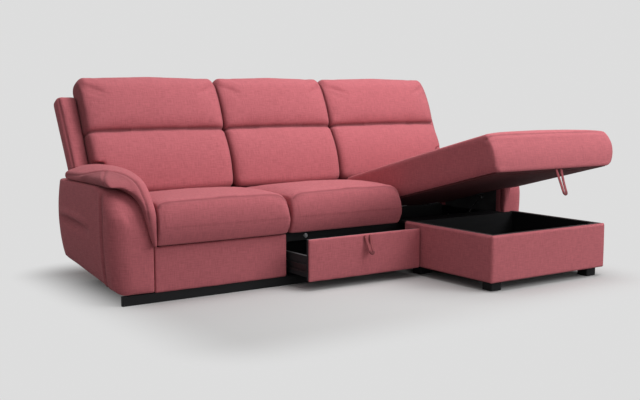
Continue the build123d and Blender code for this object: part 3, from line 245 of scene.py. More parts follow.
def timber(name, tint):
    """Plain sawn softwood: long grain, darker year rings, open pores."""
    r = Recipe(bpy.data.materials.new(name))
    place, _ = r.here()
    x, y, z = r.parts(place)
    bend = r.noise(r.vector(x * 1.5, y * 2.0, z * 6.0), 1.0, 3.0, 0.55)
    rings = ((z * 190.0 + y * 60.0 + bend * 22.0).sine()) * 0.5 + 0.5
    pores = r.noise(r.vector(x * 20.0, y * 160.0, z * 380.0), 1.0, 3.0, 0.6)
    level = r.spread(rings * 0.6 + pores * 0.5, 0.2, 0.95, 0.0, 1.0)
    colour = r.blend(level, tuple(c * 0.62 for c in tint), tuple(min(1.0, c * 1.12) for c in tint))
    return r.finish(colour, 0.62 + (pores - 0.5) * 0.2, rings * 0.4 + pores * 0.6, 0.0006, 0.3)


def felt(name, tint):
    """Matted black lining: fine fibres, lighter and darker in patches."""
    r = Recipe(bpy.data.materials.new(name))
    place, _ = r.here()
    fibre = r.noise(place, 260.0, 4.0, 0.7)
    patch = r.noise(place, 14.0, 2.0, 0.5)
    level = r.spread(fibre * 0.7 + patch * 0.3, 0.3, 0.7, 0.0, 1.0)
    colour = r.blend(level, tuple(c * 0.55 for c in tint), tuple(c * 1.6 for c in tint))
    return r.finish(colour, 0.9 + (fibre - 0.5) * 0.1, fibre, 0.0008, 0.5, specular_ior_level=0.08)


def elastic_web(name, tint):
    """Elastic upholstery web: fine ribs and a little fuzz."""
    r = Recipe(bpy.data.materials.new(name))
    place, _ = r.here()
    x, y, z = r.parts(place)
    ribs = (((x + y + z) * 2200.0).sine()) * 0.5 + 0.5
    fuzz = r.noise(place, 300.0, 3.0, 0.6)
    colour = r.blend(r.spread(ribs * 0.7 + fuzz * 0.4, 0.1, 1.0, 0.0, 1.0), tuple(c * 0.55 for c in tint),
                     tuple(c * 1.5 for c in tint))
    return r.finish(colour, 0.85 + (fuzz - 0.5) * 0.1, ribs, 0.0007, 0.5)


def metal(name, tint, roughness, scratch=0.18, metallic=1.0):
    """Drawn or painted steel: fine lines and small dull patches."""
    r = Recipe(bpy.data.materials.new(name))
    place, _ = r.here()
    x, y, z = r.parts(place)
    lines = r.noise(r.vector(x * 900.0, y * 14.0, z * 40.0), 1.0, 3.0, 0.6)
    patch = r.noise(place, 45.0, 3.0, 0.55)
    colour = r.blend(r.spread(patch, 0.35, 0.7, 0.0, 1.0), tuple(c * 0.86 for c in tint),
                     tuple(min(1.0, c * 1.08) for c in tint))
    rough = roughness + (lines - 0.5) * scratch + (patch - 0.5) * 0.12
    return r.finish(colour, rough, lines, 0.00015, 0.25, metallic=metallic)


RED = (0.44, 0.117, 0.136)
cover_cloth = woven("cover_cloth", RED)
# A dark copy of the cover cloth: painted shade for the underside of the lid.
lid_cloth_in_painted_shade = woven("lid_cloth_in_painted_shade", (0.105, 0.029, 0.032), slub=0.6, sheen=0.0)
tape_cloth = woven("tape_cloth", (0.29, 0.072, 0.082), thread=0.0016, slub=0.6)
black_board = painted_board("black_board", (0.012, 0.012, 0.013))
grey_board = painted_board("grey_board", (0.034, 0.035, 0.037), pale_edge=(0.11, 0.11, 0.113))
pale_timber = timber("pale_timber", (0.55, 0.38, 0.22))
black_felt = felt("black_felt", (0.052, 0.052, 0.054))
web_cloth = elastic_web("web_cloth", (0.04, 0.04, 0.041))
plain_steel = metal("plain_steel", (0.50, 0.50, 0.51), 0.38)
black_steel = metal("black_steel", (0.014, 0.014, 0.015), 0.5, metallic=0.0)

finish_of_slot = {
    "cover": cover_cloth, "pull_tape": tape_cloth, "timber": pale_timber, "black_board": black_board,
    "grey_board": grey_board, "lining": black_felt, "webbing": web_cloth, "steel": plain_steel,
    "black_steel": black_steel,
}
slot_of_node = {part["node"]: part["material_slot"] for part in frame["record"]["subparts"]}
for name, node in nodes.items():
    node.data.materials.clear()
    # The lid's underside gets the dark copy of the cover cloth, which paints its shade.
    under_lid = name in ("lid_lining", "lid_board")
    node.data.materials.append(lid_cloth_in_painted_shade if under_lid else finish_of_slot[slot_of_node[name]])


# Soft pieces

def points_of(mesh):
    flat = np.empty(len(mesh.vertices) * 3, dtype=np.float32)
    mesh.vertices.foreach_get("co", flat)
    return flat.reshape(-1, 3).astype(float)


def put_points(mesh, points):
    mesh.vertices.foreach_set("co", np.ascontiguousarray(points, dtype=np.float32).ravel())
    mesh.update()


def normals_of(mesh):
    flat = np.empty(len(mesh.vertices) * 3, dtype=np.float32)
    mesh.vertex_normals.foreach_get("vector", flat)
    return flat.reshape(-1, 3).astype(float)


def dressed(name, mesh, node, finish):
    """Links a new piece that stands for a CAD node and rides on its body."""
    piece = bpy.data.objects.new(name, mesh)
    bpy.context.scene.collection.objects.link(piece)
    mesh.materials.clear()
    mesh.materials.append(finish)
    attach(piece, body_of_node[node])
    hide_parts(node)
    return piece


def outer_skin(mesh):
    """Drops closed skins that lie inside a larger one, such as the wall of a hollow."""
    shell = bmesh.new()
    shell.from_mesh(mesh)
    seen = set()
    islands = []
    for start in shell.verts:
        if start in seen:
            continue
        island = [start]
        seen.add(start)
        for vert in island:
            for edge in vert.link_edges:
                other = edge.other_vert(vert)
                if other not in seen:
                    seen.add(other)
                    island.append(other)
        islands.append(island)
    spans = []
    for island in islands:
        co = np.array([v.co for v in island])
        spans.append((co.min(0), co.max(0)))
    inner = [
        vert for i, island in enumerate(islands) for vert in island
        if any((low < spans[i][0]).all() and (high > spans[i][1]).all() for low, high in spans)
    ]
    bmesh.ops.delete(shell, geom=inner, context="VERTS")
    shell.to_mesh(mesh)
    shell.free()


def evaluated_mesh(piece):
    """The mesh of a piece with its modifiers worked in."""
    bpy.context.view_layer.update()
    return bpy.data.meshes.new_from_object(piece.evaluated_get(bpy.context.evaluated_depsgraph_get()))


def even_skin(node, voxel, smooth):
    """An even quad skin over a CAD node, softened by a few rounds of smoothing."""
    source = bpy.data.objects.new("skin", nodes[node].data.copy())
    bpy.context.scene.collection.objects.link(source)
    remesh = source.modifiers.new("skin", "REMESH")
    remesh.mode = "VOXEL"
    remesh.voxel_size = voxel
    soften = source.modifiers.new("soften", "SMOOTH")
    soften.factor = 0.5
    soften.iterations = smooth
    mesh = evaluated_mesh(source)
    bpy.data.objects.remove(source)
    outer_skin(mesh)
    return mesh


def eased(mesh, moves, rounds):
    """Evens out moves of a mesh's points between neighbours, which takes away tight wrinkles."""
    ends = np.empty(len(mesh.edges) * 2, dtype=np.int32)
    mesh.edges.foreach_get("vertices", ends)
    one, two = ends.reshape(-1, 2).T
    near = np.bincount(ends, minlength=len(moves))
    for _ in range(rounds):
        moves = np.column_stack([
            0.5 * m + 0.5 * (np.bincount(one, m[two], len(m)) + np.bincount(two, m[one], len(m))) / near
            for m in moves.T])
    return moves


class Stuffing:
    """Padded pieces that swell together in one run of the cloth solver."""

    def __init__(self):
        self.waiting = []

    def join(self, piece, cap, held, pressure=4.0, pull_in=0.0):
        """Adds a piece.

        held masks the points that seams and supports keep in place; the rest starts pulled in."""
        put_points(piece.data, points_of(piece.data) - normals_of(piece.data) * (~held * pull_in)[:, None])
        self.waiting.append((piece, cap, held, pressure))

    def swell(self, frames=20):
        """Runs the solver, caps and evens out the moves of the points and writes them into the meshes."""
        scene = bpy.context.scene
        starts = []
        for piece, _, held, pressure in self.waiting:
            group = piece.vertex_groups.new(name="held")
            group.add(np.flatnonzero(held).tolist(), 1.0, "REPLACE")
            cloth = piece.modifiers.new("swell", "CLOTH")
            cloth.settings.quality = 3
            cloth.settings.mass = 0.3
            cloth.settings.use_pressure = True
            cloth.settings.uniform_pressure_force = pressure
            cloth.settings.vertex_group_mass = "held"
            cloth.settings.effector_weights.gravity = 0.0
            cloth.collision_settings.use_collision = False
            cloth.point_cache.frame_start = 1
            cloth.point_cache.frame_end = frames
            starts.append(points_of(piece.data))
        for step in range(1, frames + 1):
            scene.frame_set(step)
        depsgraph = bpy.context.evaluated_depsgraph_get()
        for (piece, cap, held, _), start in zip(self.waiting, starts):
            ready = piece.evaluated_get(depsgraph)
            moved = points_of(ready.to_mesh()) - start
            ready.to_mesh_clear()
            reach = np.linalg.norm(moved, axis=1, keepdims=True)
            moved *= np.tanh(reach / cap) * cap / np.maximum(reach, 1e-9)
            piece.modifiers.clear()
            piece.vertex_groups.clear()
            put_points(piece.data, start + eased(piece.data, moved, 4) * ~held[:, None])
        scene.frame_set(1)


def finer(piece):
    """One subdivision worked into the mesh, so that seams can be drawn between the coarse points."""
    subdivide = piece.modifiers.new("finer", "SUBSURF")
    subdivide.levels = 1
    mesh = evaluated_mesh(piece)
    piece.modifiers.clear()
    old = piece.data
    piece.data = mesh
    bpy.data.meshes.remove(old)


def smooth_path(corners, step=0.004):
    """Points along a smooth line through a few corners."""
    corners = np.array(corners, dtype=float)
    ends = np.vstack([2 * corners[0] - corners[1], corners, 2 * corners[-1] - corners[-2]])
    line = []
    for a, b, c, d in zip(ends, ends[1:], ends[2:], ends[3:]):
        count = max(2, int(np.linalg.norm(c - b) / step))
        t = np.linspace(0, 1, count, endpoint=False)[:, None]
        line.append(0.5 * (2 * b + (c - a) * t + (2 * a - 5 * b + 4 * c - d) * t ** 2
                           + (3 * b - a - 3 * c + d) * t ** 3))
    return np.vstack(line + [corners[-1:]])


def distance_to(points, line):
    """How far each point is from a line given by close points, and how far along the line it is nearest."""
    tree = KDTree(len(line))
    for i, spot in enumerate(line):
        tree.insert(spot, i)
    tree.balance()
    found = [tree.find(p) for p in points]
    return np.array([f[2] for f in found]), np.array([f[1] for f in found]) / (len(line) - 1)


def sink(piece, distance, depth, width):
    """Presses a piece in by depth where distance is small."""
    put_points(piece.data, points_of(piece.data)
               - normals_of(piece.data) * (depth * np.exp(-(distance / width) ** 2))[:, None])


def mark(piece, name, tone):
    """Notes a share between 0 and 1 at each point for the cloth's finish, over what is noted already."""
    mesh = piece.data
    layer = mesh.attributes.get(name) or mesh.attributes.new(name, "FLOAT", "POINT")
    old = np.empty(len(mesh.vertices), dtype=np.float32)
    layer.data.foreach_get("value", old)
    layer.data.foreach_set("value", np.maximum(old, tone).astype(np.float32))


def shade(piece, distance, width, strength=1.0):
    """Paints shade into the cloth's colour, through the seam mark, along a fold, a seam or another place in shade.
    """
    mark(piece, "seam", strength * np.exp(-(distance / width) ** 2))


def sew(piece, distance, depth=0.0035, width=0.006, strength=0.8, plump=0.0015):
    """A seam: the cloth is drawn in along its line and plumps up beside it, and painted shade darkens the fold."""
    beside = np.exp(-((distance - 0.02) / 0.012) ** 2)
    put_points(piece.data, points_of(piece.data) + normals_of(piece.data) * (plump * beside)[:, None])
    sink(piece, distance, depth, width)
    shade(piece, distance, width, strength)


def lean_frame(points):
    """Points in the leaning back's own terms: across, up the lean, out to the front."""
    up = np.array([0.0, math.sin(BACK_LEAN), math.cos(BACK_LEAN)])
    out = np.array([0.0, -math.cos(BACK_LEAN), math.sin(BACK_LEAN)])
    rel = points - np.array(KNEE)
    return points[:, 0], rel @ up, rel @ out


def lid_frame(points):
    """Points in the lid's own terms: across, back from the hinge, up from the underside."""
    back = np.array([0.0, math.cos(LID_OPEN), -math.sin(LID_OPEN)])
    up = np.array([0.0, math.sin(LID_OPEN), math.cos(LID_OPEN)])
    rel = points - np.array(LID_AXIS)
    return points[:, 0], rel @ back, rel @ up


AWAY = 1.0                # a distance that no seam reaches
stuffing = Stuffing()


def outermost(node):
    """How far a node reaches out from the sofa's middle."""
    low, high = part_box(node)
    return max(abs(low[0]), abs(high[0]))


def from_ends(node, x):
    """Distance of points from the nearer end of a node's width."""
    low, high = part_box(node)
    return np.minimum(x - low[0], high[0] - x)


# Seat cushions: a seam along the front edge
SEAT_SEAM = 0.028         # front seam behind the cushion's nose
SEAT_SEAM_FOOT = 0.36     # level where the front seam ends


def seat_seam(node, points):
    x, y, z = points.T
    low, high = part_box(node)
    foot = np.where(x < low[0] + 0.03, high[2] - 0.05, SEAT_SEAM_FOOT)
    return np.where(z > foot, abs(y - low[1] - SEAT_SEAM), AWAY)


def seat_cushion(node):
    piece = dressed("sewn_" + node, even_skin(node, 0.009, 2), node, cover_cloth)
    points = points_of(piece.data)
    x, y, z = points.T
    low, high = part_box(node)
    held = (z < low[2] + 0.006) | (y > high[1] - 0.055) | (from_ends(node, x) < 0.006)
    held |= seat_seam(node, points) < 0.006
    stuffing.join(piece, 0.010, held, pull_in=0.002)
    return piece


def seat_seam_sewn(node, piece):
    sew(piece, seat_seam(node, points_of(piece.data)), 0.003, 0.0045, 0.6)


# Chaise cushion: a seam along the front edge of its top
LID_SEAM = (0.021, 0.187)  # front seam: behind the front edge, above the underside


def lid_seam(node, points):
    x, back, up = lid_frame(points)
    inset = 0.020 * np.exp(-from_ends(node, x) / 0.014)
    return np.hypot(back + LID_LENGTH - LID_SEAM[0] - inset, up - LID_SEAM[1] + inset)


def chaise_cushion(node):
    piece = dressed("sewn_" + node, even_skin(node, 0.010, 3), node, cover_cloth)
    points = points_of(piece.data)
    x, back, up = lid_frame(points)
    held = (up < 0.022) | (back > -0.05) | (lid_seam(node, points) < 0.007)
    held |= (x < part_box(node)[0][0] + 0.010) | ((back > -0.60) & (x > ARM_IN - 0.016))
    stuffing.join(piece, 0.011, held, pull_in=0.002)
    return piece


def lid_seam_sewn(node, piece):
    sew(piece, lid_seam(node, points_of(piece.data)), 0.003, 0.005, 0.55)


# Back cushions: head part and lumbar part either side of a sewn channel
BACK_REAR = 0.056         # rear part that rests on the frame, out from the back's plane
BACK_FOOT = -0.115        # lowest part, along the lean from the knee


def back_cushion(node):
    piece = dressed("sewn_" + node, even_skin(node, 0.008, 9), node, cover_cloth)
    x, up, out = lean_frame(points_of(piece.data))
    ends = from_ends(node, x)
    held = (out < BACK_REAR) | (up < BACK_FOOT) | (ends < 0.005)
    held |= (abs(up - BACK_SEAM) < 0.007) & (out > 0.09)
    stuffing.join(piece, 0.010, held)
    return piece


def back_channel_sewn(node, piece):
    x, up, out = lean_frame(points_of(piece.data))
    ends = from_ends(node, x)
    channel = np.where(out > 0.085, abs(up - BACK_SEAM), AWAY)
    sew(piece, channel, 0.006, 0.009, 0.9, 0.0)
    # Painted shade on the ends of the back cushions, where they meet the wings and each other.
    shade(piece, ends, 0.014, 0.5)
    slack = 0.0010 * np.sin(x * 31.0 + 2.0 * np.sin(x * 7.0)) * np.exp(-(channel / 0.04) ** 2)
    ear = np.exp(-((ends - 0.03) / 0.022) ** 2) * np.exp(-((up - 0.49) / 0.035) ** 2)
    put_points(piece.data, points_of(piece.data) + normals_of(piece.data) * (slack + 0.004 * ear)[:, None])


# Arms: a side and a front part that meet in an upright pleat, and a tuck across the side.
# Paths of the arms: inwards from the outermost side, behind the front of the arm's own piece, height
ARM_PLEAT = [(0.014, 0.150, 0.56), (0.007, 0.130, 0.48), (0.003, 0.115, 0.40), (0.004, 0.112, 0.29),
             (0.014, 0.118, 0.19), (0.034, 0.132, 0.09), (0.054, 0.135, 0.05)]
ARM_TUCK = [(0.014, 0.700, 0.360), (0.002, 0.600, 0.357), (0.001, 0.500, 0.353), (0.001, 0.400, 0.347),
            (0.001, 0.330, 0.339), (0.001, 0.253, 0.324), (0.002, 0.180, 0.303)]
ARM_LAYER = 0.012         # slices in which an arm's outline is read
ARM_ROUND = 0.075         # soft upright corner between the front and the side
# Arm pad: the seam between its top and its side band, and the pleat over the arm's pleat
PAD_SEAM = [(0.001, 0.640, 0.570), (0.001, 0.560, 0.576), (0.006, 0.460, 0.586), (0.030, 0.390, 0.597),
            (0.056, 0.326, 0.606), (0.076, 0.280, 0.611), (0.101, 0.250, 0.609), (0.122, 0.205, 0.600),
            (0.136, 0.155, 0.585), (0.146, 0.105, 0.560), (0.150, 0.060, 0.518), (0.153, 0.024, 0.474),
            (0.158, 0.001, 0.393), (0.178, 0.004, 0.300)]
PAD_VOXEL = 0.007         # mesh size of the pad's skin
PAD_CRISP, PAD_PLUMP = 8, 44  # rounds of smoothing at the tip and over the top
PAD_HEM = (0.552, -0.02)  # lower edge along the arm: below this level and behind this place
PAD_TIP = 0.34            # the narrow tip keeps its edge below this level
PAD_BAND_PAINTED_SHADE = 0.38           # painted shade on the side band
PAD_PLEAT = [(0.070, 0.300, 0.615), (0.030, 0.220, 0.600), (0.004, 0.165, 0.580), (0.002, 0.152, 0.55)]


def arm_path(node, side, path):
    """A path along the left arm or, mirrored, along the right one."""
    outer, front = outermost(node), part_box(node)[0][1]
    return smooth_path([(side * (outer - inward), front + back, z) for inward, back, z in path])


def round_arm_corner(piece, side):
    """Rolls the upright outer front corner of an arm to a larger radius."""
    points = points_of(piece.data)
    x, y, z = points.T
    layer = ((z - z.min()) / ARM_LAYER).astype(int)
    outer = np.full(layer.max() + 1, -9.0)
    front = np.full(layer.max() + 1, 9.0)
    np.maximum.at(outer, layer, side * x)
    np.minimum.at(front, layer, y)
    middle = z.min() + ARM_LAYER * (np.arange(layer.max() + 1) + 0.5)
    a = ARM_ROUND - np.interp(z, middle, outer) + side * x
    b = ARM_ROUND - y + np.interp(z, middle, front)
    far = np.maximum(np.hypot(a, b), 1e-6)
    shift = np.where((a > 0) & (b > 0) & (far > ARM_ROUND), 1 - ARM_ROUND / far, 0.0)
    put_points(piece.data, points + np.column_stack([-side * a * shift, b * shift, 0 * shift]))


def arm_cover(node, side):
    piece = dressed("sewn_" + node, even_skin(node, 0.009, 3), node, cover_cloth)
    round_arm_corner(piece, side)
    points = points_of(piece.data)
    x, y, z = points.T
    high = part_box(node)[1]
    pleat = distance_to(points, arm_path(node, side, ARM_PLEAT))[0]
    held = (abs(x) < ARM_IN + 0.006) | (z > high[2] - 0.012) | (y > high[1] - 0.02) | (pleat < 0.008)
    stuffing.join(piece, 0.007, held, pull_in=0.002)
    return piece


def arm_cover_sewn(node, piece, side):
    points = points_of(piece.data)
    pleat = distance_to(points, arm_path(node, side, ARM_PLEAT))[0]
    sew(piece, pleat, 0.006, 0.016, 0.4, 0.003)
    tuck, along = distance_to(points, arm_path(node, side, ARM_TUCK))
    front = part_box(node)[0][1]
    ahead = ARM_TUCK[::-1]
    line = np.interp(points[:, 1] - front, [back for _, back, _ in ahead], [z for _, _, z in ahead])
    above = points[:, 2] > line
    swing = np.sin(np.clip(along * 1.2, 0, 1) * math.pi) ** 0.6
    lip = np.where(above, 0.008 * np.exp(-((tuck - 0.030) / 0.020) ** 2), 0.0) * swing
    put_points(piece.data, points_of(piece.data) + normals_of(piece.data) * lip[:, None])
    sink(piece, tuck, 0.018 * swing, np.where(above, 0.012, 0.036))
    # Painted shade along the tuck's crease, over its real dip and lip.
    shade(piece, tuck, np.where(above, 0.010, 0.020), 0.4 * swing)


def arm_pad(node, side):
    piece = dressed("sewn_" + node, even_skin(node, PAD_VOXEL, PAD_CRISP), node, cover_cloth)
    plump = points_of(even_skin(node, PAD_VOXEL, PAD_PLUMP))
    points = points_of(piece.data)
    share = np.clip((points[:, 2] - PAD_TIP) / 0.14, 0, 1)[:, None]
    put_points(piece.data, points * (1 - share) + plump * share)
    points = points_of(piece.data)
    x, y, z = points.T
    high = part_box(node)[1]
    seam = distance_to(points, arm_path(node, side, PAD_SEAM))[0]
    pleat = distance_to(points, arm_path(node, side, PAD_PLEAT))[0]
    held = (abs(x) < ARM_IN + 0.006) | (y > high[1] - 0.012) | (seam < 0.006) | (pleat < 0.006)
    held |= (z < PAD_HEM[0]) & (y > PAD_HEM[1])
    stuffing.join(piece, 0.008, held)
    return piece


def arm_pad_sewn(node, piece, side):
    points = points_of(piece.data)
    path = arm_path(node, side, PAD_SEAM)
    seam, along = distance_to(points, path)
    nearest = path[np.round(along * (len(path) - 1)).astype(int)]
    beyond = np.clip((abs(points[:, 0]) - abs(nearest[:, 0])) / 0.01, 0, 1)
    # Painted shade over the pad's side band, which faces down and outward.
    shade(piece, 1 - beyond, 0.5, PAD_BAND_PAINTED_SHADE)
    sew(piece, seam, 0.004, 0.006, 0.75, 0.002)
    pleat = distance_to(points, arm_path(node, side, PAD_PLEAT))[0]
    sew(piece, pleat, 0.003, 0.008, 0.35, 0.001)


# Wings of the back: a seam down the outer front corner
WING_FACE = 0.088         # padded face, in from the outermost side
WING_LEAN = 0.013         # how far the top of the face leans out


def back_wing(node):
    piece = dressed("sewn_" + node, even_skin(node, 0.008, 5), node, cover_cloth)
    x, up, out = lean_frame(points_of(piece.data))
    outer = outermost(node)
    held = (out < 0.012) | (abs(x) < outer - WING_FACE) | (up < 0.03)
    stuffing.join(piece, 0.008, held, pull_in=0.002)
    return piece


def back_wing_sewn(node, piece):
    x, up, out = lean_frame(points_of(piece.data))
    outer = outermost(node)
    lean = WING_LEAN * np.clip(up / 0.42, 0, 1) * np.clip((abs(x) - outer + WING_FACE) / 0.06, 0, 1)
    put_points(piece.data, points_of(piece.data) + np.column_stack([np.sign(x) * lean, 0 * x, 0 * x]))
    corner = np.hypot(abs(x) - outer + 0.010, out - 0.094)
    sew(piece, corner, 0.004, 0.007, 0.6, 0.001)
    # Painted shade on the wing's inner strip, beside the back cushion.
    shade(piece, np.maximum(abs(x) - outer + 0.075, 0), 0.025, 0.55)


# Padded fronts: a thin pad drawn over a board
def padded_front(node, voxel, cap):
    piece = dressed("sewn_" + node, even_skin(node, voxel, 2), node, cover_cloth)
    points = points_of(piece.data)
    low, high = (np.array(c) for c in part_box(node))
    inside = np.minimum(points - low, high - points)
    held = (points[:, 1] > high[1] - 0.005) | (inside[:, 0] < 0.012) | (inside[:, 2] < 0.012)
    stuffing.join(piece, cap, held, pressure=3.0)
    return piece


def box_padding(node):
    """Cover over the boards of the storage box: flat, with soft edges and a slight wave in the cloth."""
    piece = dressed("sewn_" + node, even_skin(node, 0.003, 3), node, cover_cloth)
    x, y, z = points_of(piece.data).T
    low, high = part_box(node)
    wave = np.sin(x * 9.0 + 1.0) * np.sin(y * 11.0) * np.sin((z - low[2]) / (high[2] - low[2]) * math.pi)
    outside = (z < high[2] - 0.008) & (z > low[2] + 0.006)
    swell = np.where(outside, 0.0012 + 0.0012 * wave, 0.0)
    put_points(piece.data, points_of(piece.data) + normals_of(piece.data) * swell[:, None])
    left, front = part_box("box_side_padding")[0][0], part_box("box_front_padding")[0][1]
    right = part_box("box_side_padding")[1][0]
    from_outside = np.minimum(np.minimum(x - left, right - x), y - front)
    mark(piece, "lining", np.where(z > high[2] - 0.006, np.clip((from_outside - 0.009) / 0.004, 0, 1), 0.0))
    return piece


# Outer back: panels under the cover
PANEL_THICK = 0.006
PANEL_BULGE = 0.006       # how far the cloth stands out in the middle
PANEL_ROUND = 0.004       # how far its edges are drawn in


def top_fold(skin, start, end, up, front):
    """Adds the strip of cover that lies over the top rail of the back, from the panel to the cushions."""
    profile = ((-0.001, -0.0035), (-0.002, -0.0015), (0.0, 0.0), (0.004, 0.0012), (0.020, 0.0016),
               (0.035, 0.0012), (0.039, -0.0005), (0.039, -0.0030), (0.035, -0.0040), (0.004, -0.0040))
    steps = 60
    rings = []
    for i in range(steps + 1):
        spot = start.lerp(end, i / steps)
        rings.append([skin.verts.new(spot + front * f + up * h) for f, h in profile])
    for one, two in zip(rings, rings[1:]):
        for k in range(len(profile)):
            skin.faces.new((one[k - 1], one[k], two[k], two[k - 1]))
    skin.faces.new(rings[0])
    skin.faces.new(list(reversed(rings[-1])))


def back_panel(node, corner, run, rise, out, columns, rows, fold=None):
    """Cloth drawn tight over an outer back panel: slightly bulged, rounded edges, upright seams at the posts.

    fold gives the two ends of the cover's fold over the top rail."""
    corner, run, rise, out = (Vector(v) for v in (corner, run, rise, out))
    rows_of = []
    skin = bmesh.new()
    for j in range(rows + 1):
        v = j / rows
        line = []
        for i in range(columns + 1):
            u = i / columns
            edge = min(u * run.length, (1 - u) * run.length, v * rise.length, (1 - v) * rise.length)
            bulge = PANEL_BULGE * (1 - math.exp(-edge / 0.05)) - PANEL_ROUND * math.exp(-edge / 0.004)
            line.append(skin.verts.new(corner + run * u + rise * v + out * bulge))
        rows_of.append(line)
    for low, high in zip(rows_of, rows_of[1:]):
        for a, b, c, d in zip(low, low[1:], high[1:], high):
            skin.faces.new((a, b, c, d))
    rim = [e for e in skin.edges if e.is_boundary]
    wall = bmesh.ops.extrude_edge_only(skin, edges=rim)["geom"]
    for vert in (g for g in wall if isinstance(g, bmesh.types.BMVert)):
        vert.co -= out * (PANEL_THICK - 0.001)
    bmesh.ops.holes_fill(skin, edges=[e for e in skin.edges if e.is_boundary], sides=0)
    if fold:
        level = corner + rise
        ends = (Vector((x, level.y, level.z)) for x in fold)
        top_fold(skin, *ends, rise.normalized(), -out)
    bmesh.ops.recalc_face_normals(skin, faces=skin.faces)
    mesh = bpy.data.meshes.new(node)
    skin.to_mesh(mesh)
    skin.free()
    piece = dressed("sewn_" + node, mesh, node, cover_cloth)
    x = points_of(mesh)[:, 0]
    for split in (SEAT_SPLIT, CHAISE_SPLIT):
        sew(piece, abs(x - split), 0.002, 0.006, 0.7, 0.001)
    return piece


TAPE_HALF = 0.0034        # half the thickness of the pull tape


def pull_loop(node):
    """Folded pull tape: a flat tube down one leg, round the end and up the other."""
    points = points_of(nodes[node].data)
    middle = points.mean(0)
    axes = np.linalg.svd(points - middle, full_matrices=False)[2]
    down, wide, flat = (Vector(a) for a in axes)
    down *= -1 if down.z > 0 else 1
    wide *= -1 if wide.x < 0 else 1
    flat = wide.cross(down)
    along = (points - middle) @ np.array(down)
    top = Vector(middle) + down * along.min()
    length = along.max() - along.min()
    half = np.ptp((points - middle) @ np.array(wide)) / 2
    leg = half * 0.48                 # half the width of the tape
    wide_apart = half * 1.55 - leg    # from the middle to a leg at the top
    turn = half * 1.08 - leg          # from the middle to a leg at the turn
    straight, bent, sides = 15, 12, 12  # steps down a leg, round the turn and about the tape
    path = []
    for i in range(straight):
        t = i / (straight - 1)
        path.append((-wide_apart + (wide_apart - turn) * math.sin(t * math.pi / 2), t * (length - turn - leg)))
    for i in range(1, bent):
        a = math.pi * i / bent
        path.append((-turn * math.cos(a), length - turn - leg + turn * math.sin(a)))
    path += [(-s, d) for s, d in reversed(path[:straight])]
    spots = [top + wide * s + down * d + flat * 0.0012 * math.sin(d / length * math.pi) for s, d in path]
    tube = bmesh.new()
    rings = []
    for i, spot in enumerate(spots):
        ahead = (spots[min(i + 1, len(spots) - 1)] - spots[max(i - 1, 0)]).normalized()
        across = flat.cross(ahead).normalized()
        ring = []
        for k in range(sides):
            a = 2 * math.pi * k / sides
            c, s = math.cos(a), math.sin(a)
            ring.append(tube.verts.new(spot + across * math.copysign(abs(c) ** 0.6, c) * leg
                                       + flat * math.copysign(abs(s) ** 0.8, s) * TAPE_HALF))
        rings.append(ring)
    for one, two in zip(rings, rings[1:]):
        for k in range(sides):
            tube.faces.new((one[k], one[(k + 1) % sides], two[(k + 1) % sides], two[k]))
    tube.faces.new(list(reversed(rings[0])))
    tube.faces.new(rings[-1])
    bmesh.ops.recalc_face_normals(tube, faces=tube.faces)
    mesh = bpy.data.meshes.new(node)
    tube.to_mesh(mesh)
    tube.free()
    piece = dressed("sewn_" + node, mesh, node, tape_cloth)
    hang = (points_of(mesh) - np.array(top)) @ np.array(down)
    # Painted shade at the turn of the loop, in the fold.
    shade(piece, np.maximum(length - 0.012 - hang, 0), 0.010, 0.8)
    fine = piece.modifiers.new("fine", "SUBSURF")
    fine.levels = 2
    fine.render_levels = 2
    return piece


SEATS = ("left_seat_cushion", "middle_seat_cushion")
BACKS = ("left_back_cushion", "middle_back_cushion", "right_back_cushion")
LOOPS = ("lid_pull_loop", "drawer_pull_loop")
SIDES = {"left": -1, "right": 1}
soft = {}
for node in SEATS:
    soft[node] = seat_cushion(node)
soft["chaise_cushion"] = chaise_cushion("chaise_cushion")
for node in BACKS:
    soft[node] = back_cushion(node)
for hand, side in SIDES.items():
    soft[hand + "_arm_cover"] = arm_cover(hand + "_arm_cover", side)
    soft[hand + "_arm_pad"] = arm_pad(hand + "_arm_pad", side)
    soft[hand + "_back_wing"] = back_wing(hand + "_back_wing")
for node in ("left_front_padding", "drawer_front_padding"):
    soft[node] = padded_front(node, 0.006, 0.004)
stuffing.swell()
for piece in soft.values():
    finer(piece)
for node in SEATS:
    seat_seam_sewn(node, soft[node])
lid_seam_sewn("chaise_cushion", soft["chaise_cushion"])
for node in BACKS:
    back_channel_sewn(node, soft[node])
for hand, side in SIDES.items():
    arm_cover_sewn(hand + "_arm_cover", soft[hand + "_arm_cover"], side)
    arm_pad_sewn(hand + "_arm_pad", soft[hand + "_arm_pad"], side)
    back_wing_sewn(hand + "_back_wing", soft[hand + "_back_wing"])
for node in ("box_front_padding", "box_side_padding"):
    soft[node] = box_padding(node)
lean_up = Vector((0.0, math.sin(BACK_LEAN), math.cos(BACK_LEAN)))
lean_back = Vector((0.0, math.cos(BACK_LEAN), -math.sin(BACK_LEAN)))
upper_low, upper_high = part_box("outer_back_upper")
upper_rise = upper_high[2] - upper_low[2] + 0.007 - PANEL_THICK * math.sin(BACK_LEAN)
soft["outer_back_upper"] = back_panel(
    "outer_back_upper", KNEE + lean_up * 0.008 + Vector((upper_low[0], 0.0, 0.0)),
    (upper_high[0] - upper_low[0], 0.0, 0.0), lean_up * upper_rise / math.cos(BACK_LEAN), lean_back, 220, 40,
    (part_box("left_back_wing")[1][0] + 0.004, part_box("right_back_wing")[0][0] - 0.004))
lower_low, lower_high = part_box("outer_back_lower")
soft["outer_back_lower"] = back_panel(
    "outer_back_lower", (lower_low[0], lower_high[1], lower_low[2]), (lower_high[0] - lower_low[0], 0.0, 0.0),
    (0.0, 0.0, lower_high[2] - lower_low[2]), (0.0, 1.0, 0.0), 200, 44)
